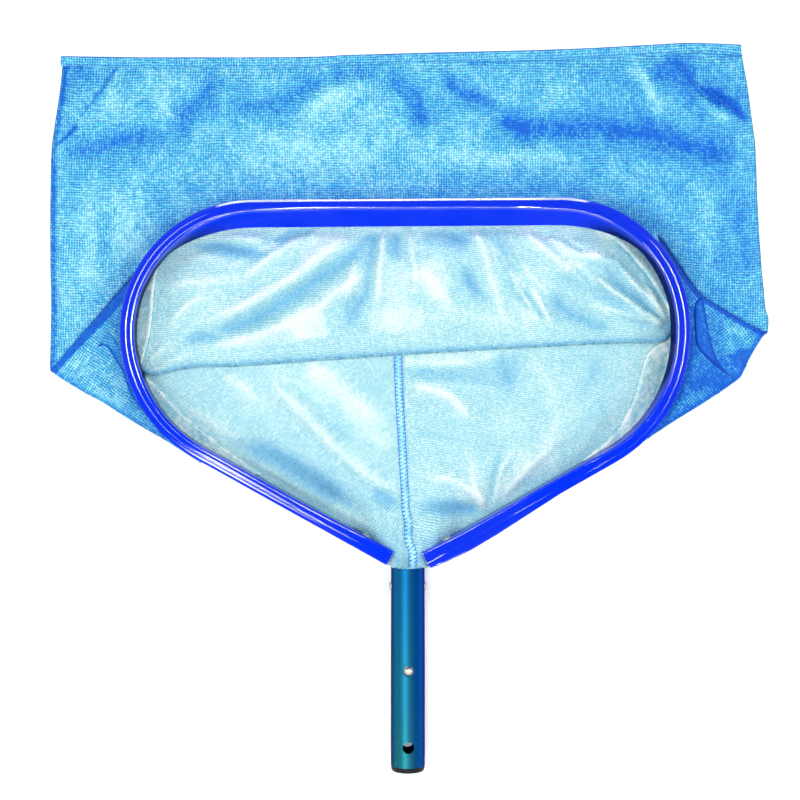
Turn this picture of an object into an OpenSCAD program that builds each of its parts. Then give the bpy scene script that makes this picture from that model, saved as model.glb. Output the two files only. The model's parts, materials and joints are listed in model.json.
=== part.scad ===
// Leaf skimmer net: hoop with a scoop lip, a deep mesh bag laid out flat
// beyond the hoop, and a short tube handle that locks into a pole.
// Origin: centre of the handle tube's open end, on the tube's axis.
// +Y runs up the handle to the hoop and the bag, +Z out of the bag's mouth.

/* [Handle tube] */
// Outside diameter of the handle tube
tube_d = 28.5; // [28:0.1:29]
// Wall thickness of the handle tube
tube_wall = 1.4; // [1.2:0.1:1.5]
// Length of the handle tube
tube_len = 165; // [150:1:175]
// Radius of the narrowed neck at the hoop end
neck_r = 14.05; // [13.4:0.05:14.1]
// Distance of the locking button from the tube's open end
button_y = 80.5; // [78:0.5:90]
// Distance of the cross hole from the tube's open end
pin_hole_y = 17; // [16:0.5:24]
// Radius of the cross hole
pin_hole_r = 4.8; // [3:0.1:5]
// Radius of the hole the button stands in
button_hole_r = 4.35; // [4.3:0.05:4.6]
// Radius of the button
button_r = 3.3; // [3:0.1:3.4]

/* [Hoop and lip] */
// Width over the lip
hoop_w = 475; // [460:1:490]
// Distance from the tube's inner end to the front of the lip
hoop_depth = 307; // [300:1:315]
// Outer radius of the two front corners
corner_r = 110; // [100:1:120]
// Outer radius of the two rear corners
side_r = 125; // [115:1:130]
// Slope of the two rear arms
arm_a = 29.3; // [27:0.1:31]
// Width of the lip strip in plan
lip_w = 11.5; // [11:0.1:12]
// Half height of the lip strip
lip_h = 12; // [11:0.5:12]
// Reach of the front scoop blade, measured from the lip's outer edge
scoop_w = 21; // [18:0.5:24]

/* [Frame bar] */
// Width of the aluminium bar in plan
bar_w = 5; // [4:0.1:5]
// Height of the aluminium bar
bar_h = 10; // [8:0.1:10]
// Distance of each leg from the centre line inside the tube
leg_x = 5.5; // [5:0.1:5.6]
// Length of each leg inside the tube
leg_in = 30; // [26:1:31]

/* [Bag] */
// Thickness of one laid layer of mesh
layer_t = 1; // [0.8:0.1:1]
// Width of the hem band at the closed end
hem_h = 9; // [8:0.5:12]
// Width of the seam down the middle of the bag
seam_w = 6.2; // [5:0.2:8]

/* [Hidden] */

tube_r = tube_d / 2;
bore_r = tube_r - tube_wall;
neck_y0 = 72;                         // the tube narrows from here
neck_y1 = tube_len - 20;              // to here, then runs straight
top_y = tube_len + hoop_depth;
mid_y = top_y - corner_r;             // level of both side arcs' centres
cxa = hoop_w / 2 - corner_r;          // centre of the front corner arc
cxb = hoop_w / 2 - side_r;            // centre of the rear corner arc
sa = sin(arm_a);
ca = cos(arm_a);
tx = cxb + side_r * sa;               // where the arm's outer line starts
ty = mid_y - side_r * ca;
lip_end_x = 18.4;                     // outer corner of the lip's end
arm_len = round((tx - lip_end_x) / ca * 10) / 10;   // lip along the arm

// frame bar: its middle line runs lip_w / 2 inside the lip's outer edge
bar_n = lip_w / 2;
bend_r = 9;
sx = tx - bar_n * sa;
sy = ty + bar_n * ca;
bend_t = bend_r * tan((90 - arm_a) / 2);
corner_y = sy - (sx - leg_x) * tan(arm_a);
bar_arm = round(((sx - leg_x) / ca - bend_t) * 100) / 100;
leg_len = round((corner_y - bend_t - tube_len + leg_in) * 100) / 100;

// packing block inside the neck, a hair smaller than the tube's bore
insert_y = tube_len - leg_in - 2;
insert_r = neck_r - tube_wall - 0.05;
neck_slope = (tube_r - neck_r) / (neck_y1 - neck_y0);

// levels of the laid bag, counted up from the floor
floor_z = -16.2;
z0 = floor_z;
z1 = floor_z + layer_t;
z2 = floor_z + 2 * layer_t;
z3 = floor_z + 3 * layer_t;

// heights of the locking spring
pivot_y = 124;
leaf_t = 0.9;
pad_z = 10.3;
dome_z = 13.8;                        // centre of the button's domed end

// rivet places
tube_rivet_y = tube_len - 15.5;
lip_rivet_s = arm_len - 23;           // along the arm from its start

module half_and_mirror() {
    children();
    mirror([1, 0, 0]) children();
}

// sweeps a section along the right half of the hoop.
// The section's x is the distance inward from the outer edge, its y is up.
module front_run(a = 0) {
    translate([a, top_y, 0]) rotate([90, 0, 90])
        linear_extrude(cxa - a) mirror([1, 0]) children();
}
module corner_run(from = 0, sweep = 90) {
    translate([cxa, mid_y, 0]) rotate([0, 0, from])
        rotate_extrude(angle = sweep, $fn = 96)
            translate([corner_r, 0]) mirror([1, 0]) children();
}
// the rear corner and the arm share one frame, turned so that the arm
// leaves the corner straight along -Y
module rear_frame() {
    translate([cxb, mid_y, 0]) rotate([0, 0, arm_a - 90]) union() children();
}
module rear_corner() {
    rotate_extrude(angle = 90 - arm_a, $fn = 96)
        translate([side_r, 0]) mirror([1, 0]) children();
}
module rear_arm(len = arm_len) {
    rotate([90, 0, 0]) linear_extrude(len)
        translate([side_r, 0]) mirror([1, 0]) children();
}
module hoop_run(len = arm_len) {
    half_and_mirror() {
        front_run() children();
        corner_run() children();
        rear_frame() {
            rear_corner() children();
            rear_arm(len) children();
        }
    }
}

// short core inside a swept section, across the joint of its two arcs:
// n0..n1 inward, h0..h1 up
module side_core(n0, n1, h0, h1) {
    half_and_mirror() translate([hoop_w / 2 - n1, mid_y - 1, h0])
        cube([n1 - n0, 2, h1 - h0]);
}

// ---- handle ----
module along_y(y0, y1) {
    translate([0, y0, 0]) rotate([-90, 0, 0]) linear_extrude(y1 - y0) children();
}
module turned_y(profile) {
    rotate([-90, 0, 0]) rotate_extrude($fn = 96) polygon(profile);
}
module handle_tube() {
    color("#1b6fae") difference() {
        turned_y([[bore_r, 0], [tube_r, 0], [tube_r, neck_y0], [neck_r, neck_y1],
            [neck_r, tube_len], [neck_r - tube_wall, tube_len],
            [neck_r - tube_wall, neck_y1], [bore_r, neck_y0]]);
        translate([0, button_y, 0]) cylinder(r = button_hole_r, h = 20, $fn = 48);
        translate([0, pin_hole_y, -20]) cylinder(r = pin_hole_r, h = 40, $fn = 48);
        for (s = [-1, 1]) translate([0, tube_rivet_y, 0]) rotate([0, 90 * s, 0])
            cylinder(r = 2.1, h = 20, $fn = 32);
    }
}
// black plug that closes the open end, its shoulder flush inside the tube's outside
module end_plug() {
    color("#16181b") rotate([90, 0, 0]) rotate_extrude($fn = 96) polygon([
        [0, 4.6], [11.9, 4.6], [12.9, 4.25], [13.6, 3.4], [13.9, 2.4], [13.9, 0],
        [bore_r - 0.05, 0], [bore_r - 0.05, -8.6], [bore_r - 0.8, -9.4],
        [9.8, -9.4], [9.8, 2], [0, 2]]);
}
// plastic block that packs both legs of the bar inside the tube
module throat_insert() {
    color("#20242a") difference() {
        turned_y([[0, insert_y], [insert_r + (neck_y1 - insert_y) * neck_slope, insert_y],
            [insert_r, neck_y1], [insert_r, tube_len - 1], [0, tube_len - 1]]);
        for (s = [-1, 1]) {
            translate([s * leg_x - bar_w / 2 - 0.05, tube_len - leg_in - 0.05, -bar_h / 2 - 0.05])
                cube([bar_w + 0.1, leg_in + 10, bar_h + 0.1]);
            translate([s > 0 ? leg_x : -leg_x - 14, tube_len - 8, -bar_h / 2 - 0.05])
                cube([14, 14, bar_h + 0.1]);
            translate([s * 2.4, tube_rivet_y, 0]) rotate([0, 90 * s, 0])
                cylinder(r = 2.05, h = 20, $fn = 32);
        }
    }
}
// domed head that stands on z = 0, with a foot below it where the seat is round
module rivet_head(r, h, foot = 0) {
    rotate_extrude($fn = 48) polygon([[0, -foot], [r, -foot], [r, h * 0.3],
        [r * 0.88, h * 0.62], [r * 0.6, h * 0.88], [r * 0.3, h * 0.98], [0, h]]);
}
// two rivets that pin the bar's legs through the tube's sides
module tube_rivets() {
    color("silver") for (s = [-1, 1]) {
        difference() {
            translate([s * (neck_r - 0.1), tube_rivet_y, 0]) rotate([0, 90 * s, 0])
                rivet_head(3.6, 1.7, 0.6);
            along_y(tube_rivet_y - 8, tube_rivet_y + 8)
                circle(r = neck_r + 0.02, $fn = 96);
        }
        translate([s * 3.1, tube_rivet_y, 0]) rotate([0, 90 * s, 0])
            cylinder(r = 2, h = neck_r - 2.9, $fn = 32);
    }
}

// ---- locking button and its spring ----
module strip_yz(w) {
    translate([-w / 2, 0, 0]) rotate([90, 0, 90]) linear_extrude(w) children();
}
// lower leg of the folded spring with the bend: stays put inside the tube
module snap_spring_base() {
    color("#b9bcc0") strip_yz(9) union() {
        polygon([[76, -11.7], [97, -11.7], [pivot_y + 0.2, -3.9],
            [pivot_y + 0.2, -3.0], [96.7, -10.8], [76, -10.8]]);
        translate([pivot_y, 0]) difference() {
            circle(r = 3.9, $fn = 64);
            circle(r = 3.0, $fn = 64);
            translate([-10, -10]) square([10.0, 20]);
        }
        translate([pivot_y - 0.8, 3.0]) square([0.85, 0.9]);
    }
}
// upper leg: presses the button out through the tube's wall
module snap_spring_leaf() {
    color("#b9bcc0") strip_yz(9) polygon([
        [pivot_y - 0.95, 3.0], [pivot_y - 0.95, 3.9], [92, pad_z + leaf_t],
        [75.5, pad_z + leaf_t], [75.5, pad_z], [91.8, pad_z]]);
}
module snap_button() {
    color("#d8d2c0") translate([0, button_y, 0]) {
        translate([0, 0, pad_z + leaf_t])
            cylinder(r = button_r, h = dome_z - pad_z - leaf_t, $fn = 64);
        intersection() {
            translate([0, 0, dome_z]) sphere(r = button_r, $fn = 64);
            translate([-5, -5, dome_z]) cube(10);
        }
    }
}

// ---- hoop ----
module bar_section() {
    translate([bar_n - bar_w / 2, -bar_h / 2]) square([bar_w, bar_h]);
}
module hoop_bar() {
    color("#c8ccd0") difference() {
        half_and_mirror() {
            front_run() bar_section();
            corner_run() bar_section();
            rear_frame() {
                rear_corner() bar_section();
                rear_arm(bar_arm) bar_section();
                translate([side_r - bar_n + bend_r, -bar_arm, 0]) rotate([0, 0, 180]) {
                    rotate_extrude(angle = 90 - arm_a, $fn = 64)
                        translate([bend_r - bar_w / 2, -bar_h / 2]) square([bar_w, bar_h]);
                    rotate([0, 0, 90 - arm_a]) translate([bend_r - bar_w / 2, 0, -bar_h / 2])
                        cube([bar_w, leg_len, bar_h]);
                }
            }
            side_core(bar_n - bar_w / 2 + 0.5, bar_n + bar_w / 2 - 0.5, 0.5 - bar_h / 2,
                bar_h / 2 - 0.5);
            translate([leg_x - bar_w / 2 + 0.5, corner_y - bend_t - 1, 0.5 - bar_h / 2])
                cube([bar_w - 1, 2, bar_h - 1]);
        }
        for (s = [-1, 1]) translate([s * 2.4, tube_rivet_y, 0]) rotate([0, 90 * s, 0])
            cylinder(r = 2.05, h = 20, $fn = 32);
        half_and_mirror() at_lip_rivet(lip_w) translate([0, 0, -6.1])
            cylinder(r = 1.65, h = 16, $fn = 32);
    }
}
// channel that clips over the bar: crowned top with a bead along its inner
// edge, long outer wall, short inner wall
module lip_section() {
    polygon([
        [0, -lip_h + 1], [0, 9.0], [0.4, 10.0], [1.3, 10.8], [2.8, 11.6], [4.6, 12],
        [6.2, 12], [7.8, 11.6], [8.6, 11.2], [9.0, 11.2], [9.5, 11.65], [10.1, 11.6],
        [11.0, 10.7], [lip_w, 9.2], [lip_w, -9], [lip_w - 1, -10], [lip_w - 2.0, -9],
        [lip_w - 2.0, 8.0], [8.6, 8.9], [3.0, 8.9], [2.1, 8.0], [2.1, -lip_h + 1],
        [1.05, -lip_h]]);
}
module scoop_section() {
    polygon([
        [9.3, 9.2], [9.9, 11.6], [scoop_w - 0.2, -10.6], [scoop_w - 0.7, -11.8],
        [scoop_w - 2.2, -11.6]]);
}
// inside of the blade: a flat front edge that runs out into the strip
// round both front corners
run_out_r = 135;
module scoop_inner() {
    translate([-cxa, 200]) square([2 * cxa, top_y - scoop_w - 200]);
    for (s = [-1, 1]) translate([s * cxa, top_y - scoop_w - run_out_r])
        circle(r = run_out_r, $fn = 96);
}
module scoop_plan() {
    difference() {
        translate([-hoop_w / 2, mid_y + 20]) square([hoop_w, 120]);
        scoop_inner();
    }
}
module lip_strip() {
    color("#0a35ff") difference() {
        union() {
            hoop_run() lip_section();
            side_core(3, 8, 9.3, 10.9);
            half_and_mirror() front_run() scoop_section();
            intersection() {
                half_and_mirror() corner_run(50, 40) scoop_section();
                translate([0, 0, -20]) linear_extrude(40) scoop_plan();
            }
        }
        half_and_mirror() at_lip_rivet(lip_w) translate([0, 0, -6.1])
            cylinder(r = 1.65, h = 16, $fn = 32);
    }
}
// places its children on the right arm at the lip rivet, n inward, +Z inward
module at_lip_rivet(n) {
    translate([tx - lip_rivet_s * ca - n * sa, ty - lip_rivet_s * sa + n * ca, 0])
        rotate([0, 0, arm_a]) rotate([-90, 0, 0]) children();
}
module lip_rivets() {
    color("silver") half_and_mirror() at_lip_rivet(lip_w) {
        rivet_head(3.6, 1.8);
        translate([0, 0, -6]) cylinder(r = 1.6, h = 6, $fn = 32);
    }
}
// folded tape that wraps the bar inside the lip and carries the bag's mouth.
// Its skirt runs down to the layer of the bag that lies under it.
module binding_section(zb) {
    difference() {
        translate([2.3, -bar_h / 2 - 2]) square([7, bar_h + 4]);
        translate([bar_n - bar_w / 2 - 0.1, -bar_h / 2 - 0.1])
            square([bar_w + 0.2, bar_h + 0.2]);
    }
    translate([8.3, zb]) square([1, -bar_h / 2 - 1.5 - zb]);
}
module mouth_binding() {
    color("#3f86e0") difference() {
        half_and_mirror() {
            front_run() binding_section(z3);
            corner_run() binding_section(z3);
            rear_frame() {
                rear_corner() binding_section(z2);
                rear_arm(arm_len - 1) binding_section(z1);
            }
            side_core(3, 8.6, bar_h / 2 + 0.4, bar_h / 2 + 1.6);
        }
        half_and_mirror() at_lip_rivet(lip_w) translate([0, 0, -20])
            cylinder(r = 1.9, h = 40, $fn = 32);
    }
}

// ---- bag, laid out flat ----
// corners of the laid bag, going round from the hem's left end
hem_l = [-291, 596];
hem_r = [282, 605];
left_corner = [-300, 330];
right_corner = [302, 368];
module laid(z, t = layer_t) {
    translate([0, 0, z]) linear_extrude(t) children();
}
// outline of the lowest layer, from the hem down to the throat
module back_outline() {
    polygon([hem_l, hem_r, [285, 565], [291, 515], [294, 450], [297, 395], right_corner,
        [299, 352], [286, 335], [262, 312], [226, 288], [196, 268], [172, 257], [20, 172],
        [12, 168], [-12, 168], [-20, 172], [-172, 257], [-204, 272], [-240, 293],
        [-274, 312], left_corner, [-300, 440], [-298, 510], [-292, 560]]);
}
module net_back_left() {
    color("#a9def2") laid(z0) difference() {
        back_outline();
        translate([-seam_w / 2, 100]) square([600, 600]);
    }
}
module net_back_right() {
    color("#a9def2") laid(z0) difference() {
        back_outline();
        translate([seam_w / 2 - 600, 100]) square([600, 600]);
    }
}
// upper layer: from the hem down to the fold inside the hoop
module net_front_layer() {
    color("#4da6e8") laid(z1) polygon([
        [-290.5, 586], [281.5, 595], [285, 565], [291, 515], [294, 450], [297, 395],
        right_corner, [272, 378], [243, 393], [226, 412], [216, 400], [216, 372],
        [206, 352], [129, 349], [61, 345], [-7, 341], [-90, 335], [-135, 332], [-180, 330],
        [-212, 327], [-218, 372], [-230, 404], [-262, 368], left_corner, [-300, 440],
        [-298, 510], [-292, 560]]);
}
// slack of the front layer: hangs from the lip down to the fold
module net_inner_fold() {
    color("#c3ecf6") laid(z2) polygon([
        [206, 353], [129, 350], [61, 346], [-7, 342], [-90, 336], [-135, 333], [-180, 331],
        [-210, 329], [-222, 352], [-228, 366], [-224, 389], [-214, 413], [-198, 434],
        [-177, 449], [-154, 459], [-127, 463.5], [127, 463.5], [154, 459], [177, 449],
        [198, 434], [214, 413], [224, 389], [228, 366]]);
}
module net_gusset_left() {
    color("#3f8fe0") laid(z1) polygon([
        [-299, 329], [-262, 366.5], [-231.5, 402], [-219, 371], [-213, 327], [-186, 283],
        [-204, 272], [-240, 293], [-274, 312]]);
}
module net_gusset_right() {
    color("#3f8fe0") laid(z1) polygon([
        [300, 367], [272, 376.5], [243, 391.5], [227, 410], [217, 399], [217, 371],
        [207, 350], [182, 282], [196, 268], [226, 288], [262, 312], [286, 335], [299, 352]]);
}
// overlocked seam between the two halves of the lowest layer; it stands
// proud of the cloth where the mouth shows it
module centre_seam() {
    color("#4f9be6") {
        laid(z0) translate([-seam_w / 2, 168]) square([seam_w, 431]);
        laid(z1, 0.6) translate([-seam_w / 2, 168]) square([seam_w, 169]);
    }
}
hem_a = atan2(hem_r[1] - hem_l[1], hem_r[0] - hem_l[0]);
hem_len = norm(hem_r - hem_l);
module on_hem() {
    translate([hem_l[0], hem_l[1], 0]) rotate([0, 0, hem_a]) children();
}
// the closed end, turned over twice and stitched
module bottom_hem() {
    color("#3d93e6") on_hem() translate([0, 1 - hem_h, 0]) laid(z1, 2.6)
        square([hem_len, hem_h]);
}
module hem_stitching() {
    color("#1f5fc0") on_hem() for (i = [0 : 80])
        translate([4 + i * 7, 2 - hem_h, z1 + 2.6]) cube([4.5, 0.8, 0.5]);
}
// slanting rows of stitches that close off both bottom corners
module corner_row(a, b) {
    n = round(norm(b - a) / 7);
    for (i = [0 : n - 1])
        translate([a[0] + (b[0] - a[0]) * i / n, a[1] + (b[1] - a[1]) * i / n, z2])
            rotate([0, 0, atan2(b[1] - a[1], b[0] - a[0])]) cube([4.5, 0.8, 0.6]);
}
module corner_stitching() {
    color("#1f5fc0") {
        corner_row([-243, 580], [-291, 518]);
        corner_row([231, 579], [283, 540]);
    }
}

handle_tube();
end_plug();
throat_insert();
tube_rivets();
snap_spring_base();
snap_spring_leaf();
snap_button();
hoop_bar();
lip_strip();
lip_rivets();
mouth_binding();
net_back_left();
net_back_right();
net_front_layer();
net_inner_fold();
net_gusset_left();
net_gusset_right();
centre_seam();
bottom_hem();
hem_stitching();
corner_stitching();
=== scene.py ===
import json
import math

import bmesh
import bpy
import numpy as np
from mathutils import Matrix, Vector, geometry

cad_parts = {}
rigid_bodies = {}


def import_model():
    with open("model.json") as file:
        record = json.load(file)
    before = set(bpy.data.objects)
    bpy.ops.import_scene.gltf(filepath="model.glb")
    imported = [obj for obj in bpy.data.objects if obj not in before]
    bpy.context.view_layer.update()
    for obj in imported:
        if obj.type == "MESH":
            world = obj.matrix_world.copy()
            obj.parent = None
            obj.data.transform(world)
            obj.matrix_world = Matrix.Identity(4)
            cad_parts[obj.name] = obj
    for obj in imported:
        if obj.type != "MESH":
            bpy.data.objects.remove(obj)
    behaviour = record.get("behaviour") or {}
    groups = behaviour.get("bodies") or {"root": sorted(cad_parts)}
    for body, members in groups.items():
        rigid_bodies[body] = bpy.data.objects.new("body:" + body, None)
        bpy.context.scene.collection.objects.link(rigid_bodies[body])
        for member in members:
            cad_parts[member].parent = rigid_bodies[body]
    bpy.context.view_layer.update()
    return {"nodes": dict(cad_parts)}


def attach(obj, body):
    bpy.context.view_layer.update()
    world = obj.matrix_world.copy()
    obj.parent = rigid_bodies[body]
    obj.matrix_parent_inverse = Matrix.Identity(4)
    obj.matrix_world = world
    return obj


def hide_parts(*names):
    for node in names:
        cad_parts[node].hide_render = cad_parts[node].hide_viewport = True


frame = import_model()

NODES = frame["nodes"]
BODY = "skimmer"
MM = 0.001

# ---------------------------------------------------------------- camera
# straight above the laid-out net, handle towards the viewer
cam_data = bpy.data.cameras.new("camera")
cam_data.sensor_width = 36.0
cam_data.lens = 70.5
cam_data.clip_start, cam_data.clip_end = 0.05, 50.0
camera = bpy.data.objects.new("camera", cam_data)
bpy.context.scene.collection.objects.link(camera)
CAM = (-0.040, 0.3048, 1.308)
TILT = math.atan2(-0.0334, 1.308)
camera.location = CAM
camera.rotation_euler = (0.0, TILT, 0.0)
bpy.context.scene.camera = camera

# ------------------------------------------------------------- node tools
class Mat:
    """Small helper that builds a node material."""

    def __init__(self, name):
        self.mat = bpy.data.materials.new(name)
        self.mat.use_nodes = True
        self.nt = self.mat.node_tree
        self.nt.nodes.clear()
        self.out = self.nt.nodes.new("ShaderNodeOutputMaterial")
        self.bsdf = self.nt.nodes.new("ShaderNodeBsdfPrincipled")
        self.link(self.bsdf.outputs[0], self.out.inputs["Surface"])

    def link(self, a, b):
        self.nt.links.new(a, b)

    def put(self, socket, value):
        if isinstance(value, bpy.types.NodeSocket):
            self.link(value, socket)
        elif isinstance(value, (tuple, list)) and len(value) == 3 and socket.type == "RGBA":
            socket.default_value = (*value, 1.0)
        else:
            socket.default_value = value

    def node(self, kind, **inputs):
        n = self.nt.nodes.new(kind)
        for k, v in inputs.items():
            if k.startswith("_"):
                setattr(n, k[1:], v)
            else:
                self.put(n.inputs[k.replace("_", " ")] if isinstance(k, str) else n.inputs[k], v)
        return n

    def math(self, op, a, b=None, c=None, clamp=False):
        n = self.nt.nodes.new("ShaderNodeMath")
        n.operation = op
        n.use_clamp = clamp
        self.put(n.inputs[0], a)
        if b is not None:
            self.put(n.inputs[1], b)
        if c is not None:
            self.put(n.inputs[2], c)
        return n.outputs[0]

    def mix(self, fac, a, b, blend="MIX"):
        n = self.nt.nodes.new("ShaderNodeMix")
        n.data_type = "RGBA"
        n.blend_type = blend
        self.put(n.inputs[0], fac)
        self.put(n.inputs[6], a if isinstance(a, bpy.types.NodeSocket) else tuple(a))
        self.put(n.inputs[7], b if isinstance(b, bpy.types.NodeSocket) else tuple(b))
        return n.outputs[2]

    def remap(self, v, a, b, c=0.0, d=1.0, smooth=True):
        n = self.nt.nodes.new("ShaderNodeMapRange")
        n.interpolation_type = "SMOOTHSTEP" if smooth else "LINEAR"
        self.put(n.inputs[0], v)
        for i, x in zip((1, 2, 3, 4), (a, b, c, d)):
            n.inputs[i].default_value = x
        return n.outputs[0]

    def noise(self, vec, scale, detail=2.0, rough=0.5, distortion=0.0):
        n = self.nt.nodes.new("ShaderNodeTexNoise")
        if vec is not None:
            self.link(vec, n.inputs["Vector"])
        n.inputs["Scale"].default_value = scale
        n.inputs["Detail"].default_value = detail
        n.inputs["Roughness"].default_value = rough
        n.inputs["Distortion"].default_value = distortion
        return n.outputs[0]

    def scaled(self, vec, s):
        n = self.nt.nodes.new("ShaderNodeVectorMath")
        n.operation = "MULTIPLY"
        self.link(vec, n.inputs[0])
        n.inputs[1].default_value = s
        return n.outputs[0]

    def obj(self):
        return self.nt.nodes.new("ShaderNodeTexCoord").outputs["Object"]

    def uv(self, name="UVMap"):
        n = self.nt.nodes.new("ShaderNodeUVMap")
        n.uv_map = name
        return n.outputs[0]

    def attr(self, name):
        n = self.nt.nodes.new("ShaderNodeAttribute")
        n.attribute_name = name
        return n.outputs["Fac"]

    def split(self, vec):
        n = self.nt.nodes.new("ShaderNodeSeparateXYZ")
        self.link(vec, n.inputs[0])
        return n.outputs

    def bump(self, height, strength, distance, normal=None):
        n = self.nt.nodes.new("ShaderNodeBump")
        n.inputs["Strength"].default_value = strength
        n.inputs["Distance"].default_value = distance
        self.link(height, n.inputs["Height"])
        if normal is not None:
            self.link(normal, n.inputs["Normal"])
        return n.outputs[0]

    def set(self, **kw):
        for k, v in kw.items():
            self.put(self.bsdf.inputs[k.replace("_", " ")], v)
        return self


def finish_mesh(obj, mats):
    obj.data.materials.clear()
    for m in mats:
        obj.data.materials.append(m)


# -------------------------------------------------------------- materials
def weave_material(name, thread, thread2, gap, painted_light_pale, deep, deep_gap, rough, spec, pitch=0.0022, gap_depth=1.0,
                   painted_glint=(0.9, 0.97, 1.0), painted_glint_amount=0.5, rib=1.0, grain=0.95,
                   dark=(0.002, 0.10, 0.60), shine=(1.0, 1.0, 1.0)):
    """Open plain weave. thread/thread2: colours of the two thread directions, gap: what shows between,
    the pale and deep colours: painted light and painted shade, mixed in where the tone attribute is high (raised folds,
    light patches) and where it is low (creases, dark patches); dark: the deepest painted shade."""
    m = Mat(name)
    uv = m.uv()
    s = m.split(uv)
    u, v = s[0], s[1]
    # slow and short drift of the threads so that no row is ruler straight
    wob = m.noise(m.scaled(uv, (26.0, 26.0, 1.0)), 1.0, 2.0)
    wob_s = m.noise(m.scaled(uv, (330.0, 240.0, 1.0)), 1.0, 1.0)
    u = m.math("MULTIPLY_ADD", m.math("SUBTRACT", wob, 0.5), 0.0040, u)
    u = m.math("MULTIPLY_ADD", m.math("SUBTRACT", wob_s, 0.5), 0.0016, u)
    wob2 = m.noise(m.scaled(uv, (-23.0, 29.0, 1.0)), 1.0, 2.0)
    wob_t = m.noise(m.scaled(uv, (-240.0, 350.0, 1.0)), 1.0, 1.0)
    v = m.math("MULTIPLY_ADD", m.math("SUBTRACT", wob2, 0.5), 0.0040, v)
    v = m.math("MULTIPLY_ADD", m.math("SUBTRACT", wob_t, 0.5), 0.0016, v)
    cu = m.math("DIVIDE", u, pitch)
    cv = m.math("DIVIDE", v, pitch)
    fu = m.math("FRACT", cu)
    fv = m.math("FRACT", cv)
    tu = m.math("SUBTRACT", 1.0, m.math("ABSOLUTE", m.math("MULTIPLY_ADD", fu, 2.0, -1.0)))
    tv = m.math("SUBTRACT", 1.0, m.math("ABSOLUTE", m.math("MULTIPLY_ADD", fv, 2.0, -1.0)))
    iu, iv = m.math("FLOOR", cu), m.math("FLOOR", cv)
    par = m.math("PINGPONG", m.math("ADD", iu, iv), 1.0)
    cmb = m.node("ShaderNodeCombineXYZ")
    m.put(cmb.inputs[0], iu)
    m.put(cmb.inputs[1], iv)
    wn = m.node("ShaderNodeTexWhiteNoise", _noise_dimensions="2D")
    m.link(cmb.outputs[0], wn.inputs["Vector"])
    cell = wn.outputs["Value"]
    # threads vary one from the next and along their length
    cmb = m.node("ShaderNodeCombineXYZ")
    m.put(cmb.inputs[0], m.math("MULTIPLY", iu, 0.91))
    m.put(cmb.inputs[1], m.math("MULTIPLY", v, 60.0))
    warp_var = m.noise(cmb.outputs[0], 1.0, 1.0)
    cmb = m.node("ShaderNodeCombineXYZ")
    m.put(cmb.inputs[0], m.math("MULTIPLY", u, 60.0))
    m.put(cmb.inputs[1], m.math("MULTIPLY", iv, 0.91))
    weft_var = m.noise(cmb.outputs[0], 1.0, 1.0)
    # patches where one direction of threads shows more than the other
    patch = m.noise(m.scaled(uv, (22.0, 26.0, 1.0)), 1.0, 2.0, 0.55)
    patch_a = m.remap(patch, 0.40, 0.60)
    wide_u = m.math("MULTIPLY_ADD", warp_var, -0.45, 0.68)
    wide_v = m.math("MULTIPLY_ADD", weft_var, -0.45, 0.68)
    wide_u = m.math("MULTIPLY_ADD", patch_a, 0.16, m.math("ADD", wide_u, -0.03))
    wide_v = m.math("MULTIPLY_ADD", patch_a, -0.16, m.math("ADD", wide_v, 0.09))
    mask_u = m.math("MULTIPLY", m.math("SUBTRACT", tu, wide_u), 4.0, clamp=True)
    mask_v = m.math("MULTIPLY", m.math("SUBTRACT", tv, wide_v), 4.0, clamp=True)
    cover = m.math("MAXIMUM", m.math("MULTIPLY", mask_u, rib), mask_v)
    # broad drift of the colour over the cloth
    big = m.noise(m.scaled(uv, (9.0, 7.0, 1.0)), 1.0, 3.0, 0.6)
    mid = m.noise(m.scaled(uv, (48.0, 60.0, 1.0)), 1.0, 3.0, 0.6)
    # the tone attribute carries painted light and shade laid out over the cloth, plus some random tone
    tone = m.attr("tone")
    drift = m.math("ADD", m.math("MULTIPLY", m.math("SUBTRACT", big, 0.5), 0.5),
                   m.math("MULTIPLY", m.math("SUBTRACT", mid, 0.5), 0.42))
    drift = m.math("ADD", drift, m.math("MULTIPLY", m.math("SUBTRACT", cell, 0.5), grain))
    t = m.math("ADD", tone, drift)
    up = m.math("MULTIPLY", t, 1.0, clamp=True)
    down = m.math("MULTIPLY", t, -1.0, clamp=True)
    c_u = m.mix(warp_var, thread, thread2)
    c_v = m.mix(weft_var, thread2, thread)
    c = m.mix(mask_v, c_u, c_v)
    # painted light towards the pale colour where the tone is high, painted shade towards the deep colour where it is
    # low and towards the dark colour below -1; the gaps follow
    c = m.mix(up, c, painted_light_pale)
    c = m.mix(down, c, deep)
    last = m.math("SUBTRACT", m.math("MULTIPLY", t, -1.0), 1.0, clamp=True)
    c = m.mix(last, c, dark)
    g = m.mix(m.math("MULTIPLY", up, 0.5), gap, painted_light_pale)
    g = m.mix(down, g, deep_gap)
    shut = m.math("MULTIPLY", m.math("SUBTRACT", 1.0, cover), gap_depth)
    col = m.mix(shut, c, g)
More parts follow.
